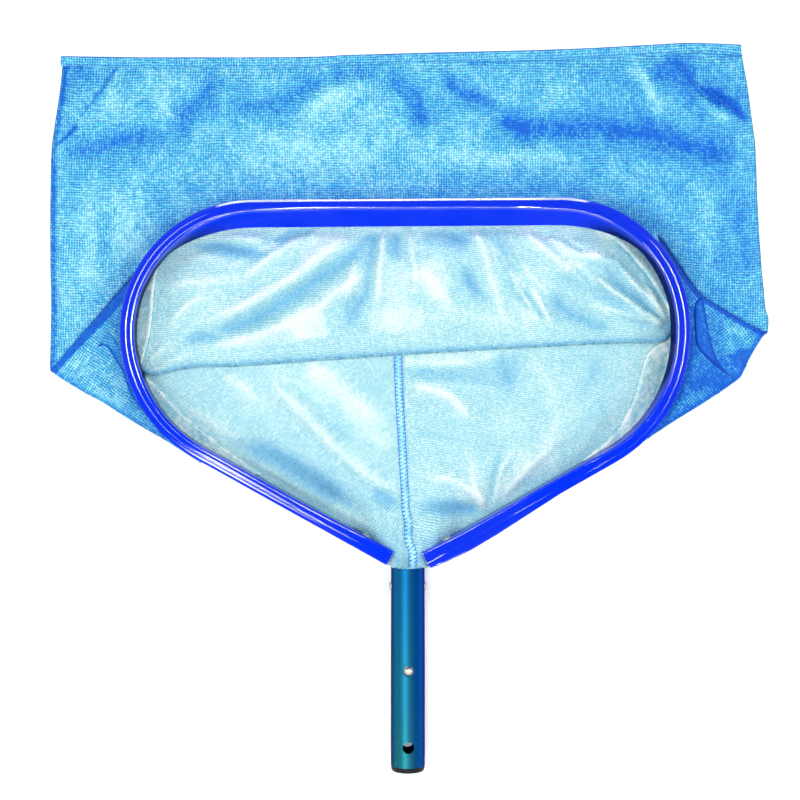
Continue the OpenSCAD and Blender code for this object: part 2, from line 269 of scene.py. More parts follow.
    # painted glints: single fibres painted near-white as if they caught the light, more of them where the painted light
    # is high
    painted_glint_mask = m.noise(m.scaled(uv, (700.0, 520.0, 1.0)), 1.0, 2.0, 0.6)
    painted_glint_mask = m.remap(painted_glint_mask, 0.56, 0.66)
    painted_glint_mask = m.math("MULTIPLY", painted_glint_mask, m.math("MULTIPLY_ADD", t, 0.6, 0.45, clamp=True))
    col = m.mix(m.math("MULTIPLY", painted_glint_mask, painted_glint_amount), col, painted_glint)
    hu = m.math("MULTIPLY", mask_u, m.math("MULTIPLY_ADD", par, 0.4, 0.6))
    hv = m.math("MULTIPLY", mask_v, m.math("MULTIPLY_ADD", par, -0.4, 1.0))
    height = m.math("MAXIMUM", hu, hv)
    nrm = m.bump(height, 0.5, 0.0005)
    m.set(Base_Color=col, Roughness=rough, Normal=nrm)
    m.bsdf.inputs["Specular IOR Level"].default_value = spec
    m.bsdf.inputs["Specular Tint"].default_value = (*shine, 1.0)
    return m.mat


mesh_blue = weave_material("mesh_blue", (0.042, 0.435, 0.71), (0.165, 0.685, 0.79), (0.002, 0.115, 0.41),
                           (0.42, 0.86, 0.87), (0.003, 0.160, 0.64), (0.0012, 0.060, 0.45), 0.50, 0.32, grain=0.62,
                           dark=(0.0006, 0.042, 0.44), shine=(0.60, 0.85, 1.0))
mesh_pale = weave_material("mesh_pale", (0.375, 0.69, 0.715), (0.56, 0.80, 0.78), (0.155, 0.455, 0.56),
                           (0.85, 0.93, 0.885), (0.18, 0.48, 0.67), (0.11, 0.34, 0.55), 0.42, 0.45, pitch=0.0017, gap_depth=0.9,
                           painted_glint=(0.94, 0.96, 0.90), painted_glint_amount=0.62, rib=0.48, grain=0.62, dark=(0.05, 0.20, 0.36))
mesh_dark = mesh_blue


def thread_material(name, base, dark, rough=0.55):
    m = Mat(name)
    uv = m.obj()
    fine = m.noise(m.scaled(uv, (900.0, 900.0, 900.0)), 1.0, 2.0)
    m.set(Base_Color=m.mix(m.remap(fine, 0.35, 0.65), dark, base), Roughness=rough,
          Normal=m.bump(fine, 0.5, 0.0003))
    return m.mat


thread_blue = thread_material("thread_blue", (0.10, 0.42, 0.86), (0.03, 0.20, 0.62))
thread_deep = thread_material("thread_deep", (0.030, 0.27, 0.78), (0.008, 0.11, 0.52))


def tape_finish():
    m = Mat("seam_tape")
    o = m.obj()
    fine = m.noise(m.scaled(o, (520.0, 520.0, 520.0)), 1.0, 3.0, 0.7)
    big = m.noise(m.scaled(o, (60.0, 40.0, 60.0)), 1.0, 2.0)
    c = m.mix(m.remap(fine, 0.35, 0.65), (0.14, 0.50, 0.88), (0.48, 0.84, 0.97))
    c = m.mix(m.math("MULTIPLY", m.remap(big, 0.4, 0.7), 0.4), c, (0.10, 0.42, 0.86))
    m.set(Base_Color=c, Roughness=0.5, Normal=m.bump(fine, 0.5, 0.0004))
    return m.mat


tape_pale = tape_finish()


def plastic(name, base, rough, var=0.12, bump=0.04, scale=160.0, coat=0.0, spec=0.5, tint=None):
    m = Mat(name)
    o = m.obj()
    big = m.noise(m.scaled(o, (14.0, 14.0, 14.0)), 1.0, 3.0)
    fine = m.noise(m.scaled(o, (scale, scale, scale)), 1.0, 3.0)
    low = tuple(x * (1.0 - var) for x in base)
    high = tuple(min(1.0, x * (1.0 + var)) for x in base)
    m.set(Base_Color=m.mix(big, low, high),
          Roughness=m.math("MULTIPLY_ADD", fine, 0.08, rough - 0.04),
          Normal=m.bump(fine, bump, 0.0006))
    m.bsdf.inputs["Specular IOR Level"].default_value = spec
    if tint:
        m.bsdf.inputs["Specular Tint"].default_value = (*tint, 1.0)
    if coat:
        m.bsdf.inputs["Coat Weight"].default_value = coat
        m.bsdf.inputs["Coat Roughness"].default_value = 0.05
    return m.mat


def metal(name, base, rough, tint=None, along=(3.0, 0.25, 3.0), bump=0.05, scale=300.0, var=0.1, metallic=1.0):
    m = Mat(name)
    o = m.obj()
    grain = m.noise(m.scaled(o, tuple(a * scale for a in along)), 1.0, 3.0, 0.6)
    big = m.noise(m.scaled(o, (18.0, 9.0, 18.0)), 1.0, 3.0)
    low = tuple(x * (1.0 - var) for x in base)
    high = tuple(min(1.0, x * (1.0 + var)) for x in base)
    m.set(Base_Color=m.mix(big, low, high), Roughness=m.math("MULTIPLY_ADD", grain, 0.12, rough - 0.06),
          Normal=m.bump(grain, bump, 0.0002))
    m.bsdf.inputs["Metallic"].default_value = metallic
    if tint:
        m.bsdf.inputs["Specular Tint"].default_value = (*tint, 1.0)
    return m.mat




def lip_material():
    m = Mat("lip_blue")
    o = m.obj()
    big = m.noise(m.scaled(o, (16.0, 16.0, 16.0)), 1.0, 3.0)
    fine = m.noise(m.scaled(o, (90.0, 90.0, 90.0)), 1.0, 3.0)
    # painted shade on the inner face: the deep attribute mixes the colour to navy and takes its reflection away
    deep = m.attr("deep")
    gloss = m.attr("gloss")
    c = m.mix(big, (0.0003, 0.025, 0.82), (0.0005, 0.033, 0.88))
    c = m.mix(deep, c, (0.0008, 0.014, 0.16))
    m.set(Base_Color=c, Roughness=m.math("MULTIPLY_ADD", fine, 0.05, 0.10), Normal=m.bump(fine, 0.004, 0.0006))
    level = m.math("MULTIPLY_ADD", gloss, 0.30, 0.12)
    m.put(m.bsdf.inputs["Specular IOR Level"], m.math("MULTIPLY", level, m.math("MULTIPLY_ADD", deep, -0.97, 1.0)))
    m.bsdf.inputs["Specular Tint"].default_value = (0.10, 0.35, 1.0, 1.0)
    # polished crown
    m.put(m.bsdf.inputs["Coat Weight"], m.math("MULTIPLY", gloss, 0.9))
    m.bsdf.inputs["Coat IOR"].default_value = 1.9
    m.bsdf.inputs["Coat Roughness"].default_value = 0.03
    return m.mat


lip_blue = lip_material()
plug_black = plastic("plug_black", (0.004, 0.005, 0.006), 0.5, bump=0.12, scale=900.0, spec=0.25)
insert_grey = plastic("insert_grey", (0.08, 0.085, 0.09), 0.55, bump=0.1, scale=900.0)
rivet_alu = metal("rivet_alu", (0.40, 0.44, 0.44), 0.42, along=(1, 1, 1), scale=700.0)
spring_steel = metal("spring_steel", (0.60, 0.61, 0.62), 0.30)
button_nickel = metal("button_nickel", (0.66, 0.67, 0.58), 0.48, along=(1, 1, 1), scale=500.0)
bar_alu = metal("bar_alu", (0.76, 0.77, 0.79), 0.35, along=(1, 1, 1), scale=400.0)


def tube_material():
    m = Mat("tube_blue")
    o = m.obj()
    s = m.split(o)
    # the colour is a little greener towards the open end
    t = m.remap(s[1], 0.0, 0.165, 0.0, 1.0, smooth=False)
    grain = m.noise(m.scaled(o, (900.0, 60.0, 900.0)), 1.0, 3.0, 0.6)
    speck = m.noise(m.scaled(o, (420.0, 420.0, 420.0)), 1.0, 3.0, 0.7)
    big = m.noise(m.scaled(o, (24.0, 16.0, 24.0)), 1.0, 3.0)
    c = m.mix(t, (0.030, 0.33, 0.36), (0.012, 0.25, 0.62))
    c = m.mix(m.math("MULTIPLY", m.remap(big, 0.35, 0.7), 0.35), c, (0.02, 0.28, 0.56))
    # painted shade down both flanks: darker teal on the left, darker blue on the right, darkest at the rims
    c = m.mix(m.remap(s[0], -0.004, -0.0145, 0.0, 0.85), c, (0.004, 0.050, 0.12))
    c = m.mix(m.remap(s[0], -0.0015, 0.0085, 0.0, 0.85), c, (0.001, 0.075, 0.46))
    c = m.mix(m.remap(s[0], 0.0085, 0.0142, 0.0, 0.88), c, (0.001, 0.022, 0.10))
    c = m.mix(m.remap(s[0], -0.0100, -0.0142, 0.0, 0.6), c, (0.002, 0.028, 0.05))
    # wear where the pole slides on and at both mouths
    wear = m.math("MULTIPLY", m.remap(speck, 0.62, 0.72), m.remap(s[1], 0.075, 0.0, 0.0, 0.5))
    c = m.mix(wear, c, (0.30, 0.52, 0.60))
    m.set(Base_Color=c, Roughness=m.math("MULTIPLY_ADD", grain, 0.08, 0.42),
          Normal=m.bump(grain, 0.05, 0.0002))
    m.bsdf.inputs["Metallic"].default_value = 0.85
    m.bsdf.inputs["Specular Tint"].default_value = (0.02, 0.16, 0.40, 1.0)
    return m.mat


tube_blue = tube_material()

for node, mat in {
    "handle_tube": tube_blue, "end_plug": plug_black, "throat_insert": insert_grey,
    "tube_rivets": rivet_alu, "lip_rivets": rivet_alu, "snap_spring_base": spring_steel,
    "snap_spring_leaf": spring_steel, "snap_button": button_nickel,
}.items():
    finish_mesh(NODES[node], [mat])

# -------------------------------------------------------------- hoop path
HOOP_W, TOP, RC, RS, ARM = 475.0, 472.0, 110.0, 125.0, math.radians(29.3)
CXA, CXB, MID = HOOP_W / 2 - RC, HOOP_W / 2 - RS, TOP - RC
TX, TY = CXB + RS * math.sin(ARM), MID - RS * math.cos(ARM)
ARM_LEN = round((TX - 18.4) / math.cos(ARM), 1)


def half_path(step_deg=1.5, step_mm=6.0, arm_len=ARM_LEN):
    """Right half of the hoop's outer line from the middle of the front to the arm's end:
    rows of x, y, inward nx, ny, length so far, corner angle from the front (degrees)."""
    rows = []
    n = max(2, int(round(CXA / step_mm)))
    for i in range(n):
        rows.append((CXA * i / n, TOP, 0.0, -1.0, CXA * i / n, 0.0))
    s = CXA
    n = int(round(90 / step_deg))
    for i in range(n):
        a = math.radians(90.0 * i / n)
        rows.append((CXA + RC * math.sin(a), MID + RC * math.cos(a), -math.sin(a), -math.cos(a),
                     s + RC * a, math.degrees(a)))
    s += RC * math.pi / 2
    sweep = math.pi / 2 - ARM
    n = int(round(math.degrees(sweep) / step_deg))
    for i in range(n):
        a = math.pi / 2 + sweep * i / n
        rows.append((CXB + RS * math.sin(a), MID + RS * math.cos(a), -math.sin(a), -math.cos(a),
                     s + RS * (a - math.pi / 2), math.degrees(a)))
    s += RS * sweep
    n = max(2, int(round(arm_len / step_mm)))
    a = math.pi / 2 + sweep
    for i in range(n + 1):
        d = arm_len * i / n
        rows.append((TX - d * math.cos(ARM), TY - d * math.sin(ARM), -math.sin(a), -math.cos(a),
                     s + d, 180.0))
    return np.array(rows)


def shifted(x, y):
    """The laid-out hoop is not quite true: it leans left, its front lies at a slight slant and the left arm is drawn in."""
    x, y = np.asarray(x, float), np.asarray(y, float)

    def s01(t):
        t = np.clip(t, 0.0, 1.0)
        return t * t * (3 - 2 * t)

    nx = x - 2.6 * np.clip((y - 172.0) / 175.0, 0.0, 1.0) + 2.0 * s01((-x - 95.0) / 80.0) * s01((y - 205.0) / 60.0)
    ny = y + 0.0105 * x * s01((y - 330.0) / 90.0) + 2.3 * s01((-x - 7.0) / 12.0) * (1 - s01((y - 225.0) / 70.0))
    return nx, ny


def full_path(**kw):
    """From the right arm's end round the front to the left arm's end. Column 6 is the side, +1 right, -1 left."""
    h = half_path(**kw)
    right = np.hstack([h[::-1], np.ones((len(h), 1))])
    left = h[1:].copy()
    left[:, 0] *= -1
    left[:, 2] *= -1
    p = np.vstack([right, np.hstack([left, -np.ones((len(left), 1))])])
    p[:, 0], p[:, 1] = shifted(p[:, 0], p[:, 1])
    return p


def leaned(node, name, mat):
    """The CAD node's own shape, moved over with the hoop."""
    me = NODES[node].data.copy()
    me.name = name
    for v in me.vertices:
        nx, ny = shifted(v.co.x / MM, v.co.y / MM)
        v.co.x, v.co.y = float(nx) * MM, float(ny) * MM
    o = bpy.data.objects.new(name, me)
    bpy.context.scene.collection.objects.link(o)
    me.materials.clear()
    me.materials.append(mat)
    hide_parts(node)
    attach(o, BODY)
    return o


def blade_reach(phi):
    """How far the scoop blade reaches in from the lip's outer edge, mm, at a corner angle in degrees."""
    if phi >= 60.0:
        return 11.5
    c, s = math.cos(math.radians(phi)), math.sin(math.radians(phi))
    n = 110.0 - (-46.0 * c + math.sqrt(135.0 ** 2 - (46.0 * s) ** 2))
    # soft maximum with the plain wall
    k = 1.0
    return 11.5 + k * math.log1p(math.exp((n - 11.5) / k))


# ------------------------------------------------------------- small maths
def smooth(x):
    x = np.clip(x, 0.0, 1.0)
    return x * x * (3 - 2 * x)


def catmull(pts, per=8):
    p = np.array(pts, float)
    if len(p) == 2:
        t = np.linspace(0, 1, per + 1)[:, None]
        return p[0] * (1 - t) + p[1] * t
    q = np.vstack([2 * p[0] - p[1], p, 2 * p[-1] - p[-2]])
    out = []
    for i in range(1, len(q) - 2):
        for k in range(per):
            t = k / per
            out.append(0.5 * ((2 * q[i]) + (-q[i - 1] + q[i + 1]) * t
                              + (2 * q[i - 1] - 5 * q[i] + 4 * q[i + 1] - q[i + 2]) * t * t
                              + (-q[i - 1] + 3 * q[i] - 3 * q[i + 1] + q[i + 2]) * t ** 3))
    out.append(p[-1])
    return np.array(out)


def line_dist(Q, L):
    """Signed distance of the points Q to the polyline L (positive on its left side) and the share of its length."""
    A, B = L[:-1], L[1:]
    D = B - A
    seg = np.maximum(np.hypot(D[:, 0], D[:, 1]), 1e-9)
    cum = np.concatenate([[0], np.cumsum(seg)])
    best = np.full(len(Q), 1e18)
    sd = np.zeros(len(Q))
    tt = np.zeros(len(Q))
    for i in range(len(A)):
        w = Q - A[i]
        t = np.clip((w @ D[i]) / seg[i] ** 2, 0, 1)
        dx = w[:, 0] - t * D[i, 0]
        dy = w[:, 1] - t * D[i, 1]
        d2 = dx * dx + dy * dy
        k = d2 < best
        best[k] = d2[k]
        cr = D[i, 0] * w[:, 1] - D[i, 1] * w[:, 0]
        sd[k] = np.where(cr[k] >= 0, 1.0, -1.0)
        tt[k] = (cum[i] + t[k] * seg[i]) / cum[-1]
    return sd * np.sqrt(best), tt


def _grad(ix, iy, seed):
    h = (ix * 374761393 + iy * 668265263 + seed * 974711) & 0xFFFFFFFF
    h = ((h ^ (h >> 13)) * 1274126177) & 0xFFFFFFFF
    h = (h ^ (h >> 16)) & 0xFFFF
    a = h / 65536.0 * 2 * math.pi
    return np.cos(a), np.sin(a)


def noise2(x, y, seed=0):
    ix, iy = np.floor(x).astype(np.int64), np.floor(y).astype(np.int64)
    fx, fy = x - ix, y - iy
    ux, uy = fx ** 3 * (fx * (fx * 6 - 15) + 10), fy ** 3 * (fy * (fy * 6 - 15) + 10)

    def corner(i, j):
        gx, gy = _grad(ix + i, iy + j, seed)
        return gx * (fx - i) + gy * (fy - j)

    a = corner(0, 0) * (1 - ux) + corner(1, 0) * ux
    b = corner(0, 1) * (1 - ux) + corner(1, 1) * ux
    return (a * (1 - uy) + b * uy) * 1.4


def fbm(Q, sx, sy, seed, octaves=3, gain=0.5, turn=0.0):
    c, s = math.cos(turn), math.sin(turn)
    x = (Q[:, 0] * c + Q[:, 1] * s) / sx
    y = (-Q[:, 0] * s + Q[:, 1] * c) / sy
    out, a = 0.0, 1.0
    for o in range(octaves):
        out = out + a * noise2(x * 2 ** o + 17.3 * o, y * 2 ** o - 9.1 * o, seed + o)
        a *= gain
    return out


def at(px, py, z=-14.0):
    """The place (mm) at height z that is seen at px, py of an 800-unit square over the camera's view."""
    f = 70.5 / 36.0 * 800.0
    u, w = (px - 400.0) / f, (400.0 - py) / f
    c, s = math.cos(TILT), math.sin(TILT)
    dx, dz = u * c - s, -u * s - c
    t = (z * MM - CAM[2]) / dz
    return ((CAM[0] + t * dx) / MM, (CAM[1] + t * w) / MM)


def P(*pairs, z=-14.0):
    return [at(*p, z) for p in pairs]


def inside(Q, poly):
    x, y = Q[:, 0], Q[:, 1]
    res = np.zeros(len(Q), bool)
    n = len(poly)
    j = n - 1
    for i in range(n):
        xi, yi = poly[i]
        xj, yj = poly[j]
        if yi != yj:
            hit = ((yi > y) != (yj > y)) & (x < (xj - xi) * (y - yi) / (yj - yi) + xi)
            res ^= hit
        j = i
    return res


def resample(L, step):
    L = np.array(L, float)
    seg = np.hypot(*(L[1:] - L[:-1]).T)
    cum = np.concatenate([[0], np.cumsum(seg)])
    n = max(1, int(round(cum[-1] / step)))
    t = np.linspace(0, cum[-1], n + 1)
    return np.column_stack([np.interp(t, cum, L[:, 0]), np.interp(t, cum, L[:, 1])])


def field(Q, feats, warp_seed=3, warp=2.0):
    """Sum of folds. Each fold: (points, height mm, width mm, shape, start taper, end taper, second width)."""
    W = Q + warp * np.column_stack([fbm(Q, 45, 45, warp_seed, 2), fbm(Q, 45, 45, warp_seed + 9, 2)])
    z = np.zeros(len(Q))
    tone = np.zeros(len(Q))
    for f in feats:
        pts, h, w, shape = f[0], f[1], f[2], f[3]
        e0, e1 = (f[4], f[5]) if len(f) > 5 else (0.25, 0.25)
        w2 = f[6] if len(f) > 6 else w
        L = catmull(pts)
        d, t = line_dist(W, L)
        env = np.ones(len(Q))
        if e0 > 0:
            env = env * smooth(t / e0)
        if e1 > 0:
            env = env * smooth((1 - t) / e1)
        if shape == "ridge":
            p = np.exp(-(d / w) ** 2)
        elif shape == "sharp":
            p = np.exp(-np.abs(d) / w)
        elif shape == "hat":
            p = (1 - 1.2 * (d / w) ** 2) * np.exp(-(d / w) ** 2)
        elif shape == "step":
            p = np.tanh(d / w) * np.exp(-(d / w2) ** 2)
        elif shape == "cliff":  # steep on the right of the line, slow on its left
            p = np.where(d > 0, np.exp(-(d / w2) ** 2), np.exp(-(np.abs(d) / w) ** 1.5))
        z += h * env * p
        # painted light along raised folds and painted shade along sunken ones
        core = p if shape != "ridge" else 0.6 * p + 0.55 * np.exp(-(d / (0.42 * w)) ** 2)
        tone += np.sign(h) * env * core * min(1.0, abs(h) / 3.0)
    return z, tone


# ------------------------------------------------------- meshes from sheets
def cdt(boundary, step, keep=None):
    """Even triangles over the polygon whose corners are the points of boundary."""
    b = np.array(boundary, float)
    lo, hi = b.min(0), b.max(0)
    rows = []
    dy = step * math.sqrt(3) / 2
    ny = int((hi[1] - lo[1]) / dy) + 1
    for j in range(ny + 1):
        xs = np.arange(lo[0] + (step / 2 if j % 2 else 0), hi[0] + step, step)
        rows.append(np.column_stack([xs, np.full(len(xs), lo[1] + j * dy)]))
    g = np.vstack(rows)
    g = g[inside(g, b)]
    d, _ = line_dist(g, np.vstack([b, b[:1]]))
    g = g[np.abs(d) > 0.55 * step]
    v = [Vector(p) for p in b] + [Vector(p) for p in g]
    e = [(i, (i + 1) % len(b)) for i in range(len(b))]
    ov, _, of, *_ = geometry.delaunay_2d_cdt(v, e, [], 1, 1e-4)
    return np.array([(p.x, p.y) for p in ov]), [tuple(f) for f in of if len(f) == 3]


def build(name, parts, mats):
    """One mesh from several pieces: each has verts (mm), faces, uv (m) per vertex, tone (painted light and shade with
    some random tone), outside up or down, material.
    """
    V, F, UV, T, M = [], [], [], [], []
    k = 0
    for q in parts:
        v, f = q["v"], q["f"]
        V.append(v * MM)
        for a in f:
            p0, p1, p2 = v[a[0]], v[a[1]], v[a[2]]
            area = (p1[0] - p0[0]) * (p2[1] - p0[1]) - (p1[1] - p0[1]) * (p2[0] - p0[0])
            a = tuple(a) if (area > 0) == q["up"] else tuple(reversed(a))
            F.append(tuple(i + k for i in a))
            M.append(q["m"])
        UV.append(q["uv"])
        T.append(q["tone"])
        k += len(v)
    V, UV, T = np.vstack(V), np.vstack(UV), np.concatenate(T)
    me = bpy.data.meshes.new(name)
    me.from_pydata([tuple(p) for p in V], [], F)
    me.update()
    layer = me.uv_layers.new(name="UVMap")
    loops = np.zeros(len(me.loops), np.int32)
    me.loops.foreach_get("vertex_index", loops)
    layer.data.foreach_set("uv", UV[loops].astype(np.float32).ravel())
    a = me.attributes.new("tone", "FLOAT", "POINT")
    a.data.foreach_set("value", T.astype(np.float32))
    me.polygons.foreach_set("material_index", np.array(M, np.int32))
    me.polygons.foreach_set("use_smooth", np.ones(len(me.polygons), bool))
    o = bpy.data.objects.new(name, me)
    bpy.context.scene.collection.objects.link(o)
    for m in mats:
        me.materials.append(m)
    return o


def weld(o, dist=0.00004):
    bm = bmesh.new()
    bm.from_mesh(o.data)
    bmesh.ops.remove_doubles(bm, verts=bm.verts, dist=dist)
    bm.to_mesh(o.data)
    bm.free()


def apply_modifiers(o):
    dg = bpy.context.evaluated_depsgraph_get()
    e = o.evaluated_get(dg)
    me = bpy.data.meshes.new_from_object(e, preserve_all_data_layers=True, depsgraph=dg)
    old = o.data
    o.modifiers.clear()
    o.data = me
    me.name = o.name
    bpy.data.meshes.remove(old)


def sharp_by_angle(me, deg):
    bm = bmesh.new()
    bm.from_mesh(me)
    lim = math.radians(deg)
    for e in bm.edges:
        e.smooth = not (len(e.link_faces) == 2 and e.calc_face_angle(0.0) > lim)
    for f in bm.faces:
        f.smooth = True
    bm.to_mesh(me)
    bm.free()


def sweep(name, rings, mats, closed_ring=True, caps=True, sharp=35.0, uv_scale=True):
    """Quads through a list of rings of points (mm). Rings are open or closed loops of equal length."""
    R = np.array(rings)
    n, k = R.shape[0], R.shape[1]
    V = R.reshape(-1, 3) * MM
    F = []
    kk = k if closed_ring else k - 1
    for i in range(n - 1):
        for j in range(kk):
            j2 = (j + 1) % k
            F.append((i * k + j, (i + 1) * k + j, (i + 1) * k + j2, i * k + j2))
    me = bpy.data.meshes.new(name)
    me.from_pydata([tuple(p) for p in V], [], F)
    me.update()
    if uv_scale:
        along = np.concatenate([[0], np.cumsum(np.linalg.norm(np.diff(R, axis=0), axis=2).mean(1))]) * MM
        rnd = np.concatenate([[0], np.cumsum(np.linalg.norm(np.diff(R.mean(0), axis=0), axis=1))]) * MM
        uv = me.uv_layers.new(name="UVMap")
        loops = np.zeros(len(me.loops), np.int32)
        me.loops.foreach_get("vertex_index", loops)
        U = np.column_stack([along[loops // k], rnd[loops % k]])
        uv.data.foreach_set("uv", U.astype(np.float32).ravel())
    if caps and closed_ring:
        bm = bmesh.new()
        bm.from_mesh(me)
        bm.verts.ensure_lookup_table()
        for base, flip in ((0, False), ((n - 1) * k, True)):
            loop = [bm.verts[base + j] for j in range(k)]
            tris = geometry.tessellate_polygon([[v.co for v in loop]])
            for t in tris:
                try:
                    bm.faces.new([loop[i] for i in t])
                except ValueError:
                    pass
        bmesh.ops.recalc_face_normals(bm, faces=bm.faces)
        bm.to_mesh(me)
        bm.free()
    sharp_by_angle(me, sharp)
    o = bpy.data.objects.new(name, me)
    bpy.context.scene.collection.objects.link(o)
    for m in mats:
        me.materials.append(m)
    return o


# -------------------------------------------------------------------- lip
def arc(cx, cz, r, a0, a1, n):
    return [(cx + r * math.cos(math.radians(a0 + (a1 - a0) * i / n)),
             cz + r * math.sin(math.radians(a0 + (a1 - a0) * i / n))) for i in range(n + 1)]


def lip_profile(nc, nb, bead=1.0, c1=3.3, c2=1.4):
    """Closed section of the lip: nc is where the top's inner edge lies, nb how far the inner face reaches.

    bead 0 is the plain top of the front bar, 1 the two low beads of the corners and arms, their crests at c1
    from the outer edge and c2 from the inner one."""
    b = (nb - 11.5) / 9.5
    crest = 4.8 * nc / 10.3
    valley = c1 + 1.6

    def crown(n):
        k = (crest - n) / crest
        flat = 12.0 - (1.5 if n < crest else 0.12) * k * k
        c = nc - c2
        low = (valley - c1) ** 2 / 16.0
        if n < valley:
            two = 12.0 - (n - c1) ** 2 / 16.0
        elif n < c:
            two = 12.0 - low * ((c - n) / (c - valley)) ** 2
        else:
            two = 12.0 - (n - c) ** 2 / 16.0
        return flat * (1.0 - bead) + two * bead

    pts = arc(1.05, -11.0, 1.05, 0, -180, 8)
    pts = [(x, z if z > -11.0 else -11.0 + (z + 11.0) * 0.95) for x, z in pts]
    pts += [(0.0, -8.0), (0.0, -4.0), (0.0, 0.0), (0.0, 4.0), (0.0, 7.5)]
    r = 0.95
    zc = crown(r) - r * 1.0
    pts += arc(r, zc, r, 180, 98, 8)
    start, stop = r * 1.15, nc - 1.0
    for i in range(1, 11):
        n = start + (valley - start) * i / 10
        pts.append((n, crown(n)))
    for i in range(1, 15):
        n = valley + (stop - valley) * i / 14
        pts.append((n, crown(n)))
    # inner edge of the top, then the inner face
    top = (nc, crown(nc) - 0.05)
    foot = (nb, -8.8 - 1.7 * b)
    face = math.degrees(math.atan2(foot[1] - top[1], foot[0] - top[0]))
    re = 1.5 + 0.3 * bead
    cx, cz = nc - 0.55, crown(nc - 0.55) - re
    pts += arc(cx, cz, re, 86, face + 90, 10)
    last = pts[-1]
    for i in range(1, 9):
        t = i / 9
        pts.append((last[0] + (foot[0] - last[0]) * t, last[1] + (foot[1] - last[1]) * t))
    # rounded foot, 2 mm thick
    fx, fz = foot[0] - 1.0, foot[1]
    pts += arc(fx + 0.0, fz - 0.1 * b, 1.0, face + 95, -170 - 25 * b, 8)
    last = pts[-1]
    up = (9.5, 7.6)
    for i in range(1, 6):
        t = i / 6
        pts.append((last[0] + (up[0] - last[0]) * t, last[1] + (up[1] - last[1]) * t))
    pts += [(9.5, 7.6), (9.3, 8.3), (8.6, 8.8), (6.0, 8.9), (3.6, 8.9), (2.6, 8.5), (2.1, 7.6), (2.1, 0.0), (2.1, -6.0)]
    return pts


def corner_n(s, phi, side):
    """Where the top's inner edge lies: nearer the outer edge over the middle of the front."""
    plain, front = 10.3, 7.9
    t = smooth(np.array([(s - 60.0) / 110.0]))[0]
    return front + (plain - front) * t


path = full_path()
arm_from, arm_to = float(path[:, 4].max()) - ARM_LEN, float(path[:, 4].max())


def lip_form(s, phi, side):
    """Inner edge of the top, reach of the inner face and how far the outer edge stands out."""
    t = (s - arm_from) / (arm_to - arm_from)
    nc, nb = corner_n(s, phi, side), blade_reach(phi)
    if side > 0:
        di = float(np.interp(t, [0.0, 0.3, 0.8, 1.0], [0.0, 0.8, 1.2, 3.0]))
        out = float(np.interp(t, [0.30, 0.50, 0.64, 0.80, 0.93, 1.0], [0.0, 2.0, 3.4, 4.0, 2.2, 0.6]))
        face = 0.9 * float(smooth(np.array([(phi - 25.0) / 30.0]))[0]) * (1.0 - 0.7 * min(1.0, max(0.0, t / 0.3)))
    else:
        di = float(np.interp(t, [0.5, 1.0], [0.0, 1.5]))
        out = 0.0
        face = 0.0
    return nc + di, max(nb, nc + di + 1.0) + face, out


rings = []
for x, y, nx, ny, s, phi, side in path:
    nc, nb, out = lip_form(s, phi, side)
    bead = float(smooth(np.array([(phi - 6.0) / 26.0]))[0])
    c1, c2 = (3.3, 1.3) if side > 0 else (4.0, 2.0)
    prof = [(n - out * max(0.0, min(1.0, (5.0 - n) / 5.0)), z) for n, z in lip_profile(nc, nb, bead, c1, c2)]
    rings.append([(x + nx * n, y + ny * n, z) for n, z in prof])
lip = sweep("lip", rings, [lip_blue], sharp=30.0)
# how deep in shade each point of the inner face lies: all of it beside the mouth, the lower part at the corners
prof_len = len(rings[0])
deep_v, gloss_v = [], []
for (x, y, nx, ny, s_, phi, side), ring_pts in zip(path, rings):
    nc, nb, _ = lip_form(s_, phi, side)
    for q in ring_pts:
        n_here = (q[0] - x) * nx + (q[1] - y) * ny
        inner_face = n_here > nc - 0.3 and q[2] < 10.6
        low = min(1.0, max(0.0, (9.5 - q[2]) / 14.0))
        k = smooth(np.array([(phi - 8.0) / 30.0]))[0]
        wall = smooth(np.array([(phi - 40.0) / 20.0]))[0]
        right = 1.0 if side > 0 else 0.75
        rear = smooth(np.array([(332.0 - y) / 28.0]))[0]
        lit = 1.0 - (0.7 if side > 0 else 0.4) * rear
        v = (k * low * 1.3 + wall * 0.8) * right * lit if inner_face else 0.0
        deep_v.append(min(1.0, v))
        # the crown's gloss is turned down at both rear corners and on the left arm near the throat, which takes the
        # highlight lines away there
        gloss_cut = rear * smooth(np.array([(x - 88.0) / 26.0 if side > 0 else (-x - 172.0) / 20.0]))[0]
        if side < 0:
            gloss_cut = max(gloss_cut, 0.9 * smooth(np.array([(x + 72.0) / 26.0]))[0] * (1 if y < 260.0 else 0))
        gloss_v.append(min(1.0, max(0.0, (q[2] - 9.6) / 0.9)) * (1.0 - 0.78 * gloss_cut))
att = lip.data.attributes.new("deep", "FLOAT", "POINT")
att.data.foreach_set("value", np.array(deep_v, np.float32))
att = lip.data.attributes.new("gloss", "FLOAT", "POINT")
att.data.foreach_set("value", np.array(gloss_v, np.float32))
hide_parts("lip_strip")
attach(lip, BODY)

OUTER = path[:, :2]


def hoop_n(Q):
    """Distance inward from the lip's outer edge (mm, negative outside), and the share of the way round."""
    d, t = line_dist(Q, OUTER)
    return d, t


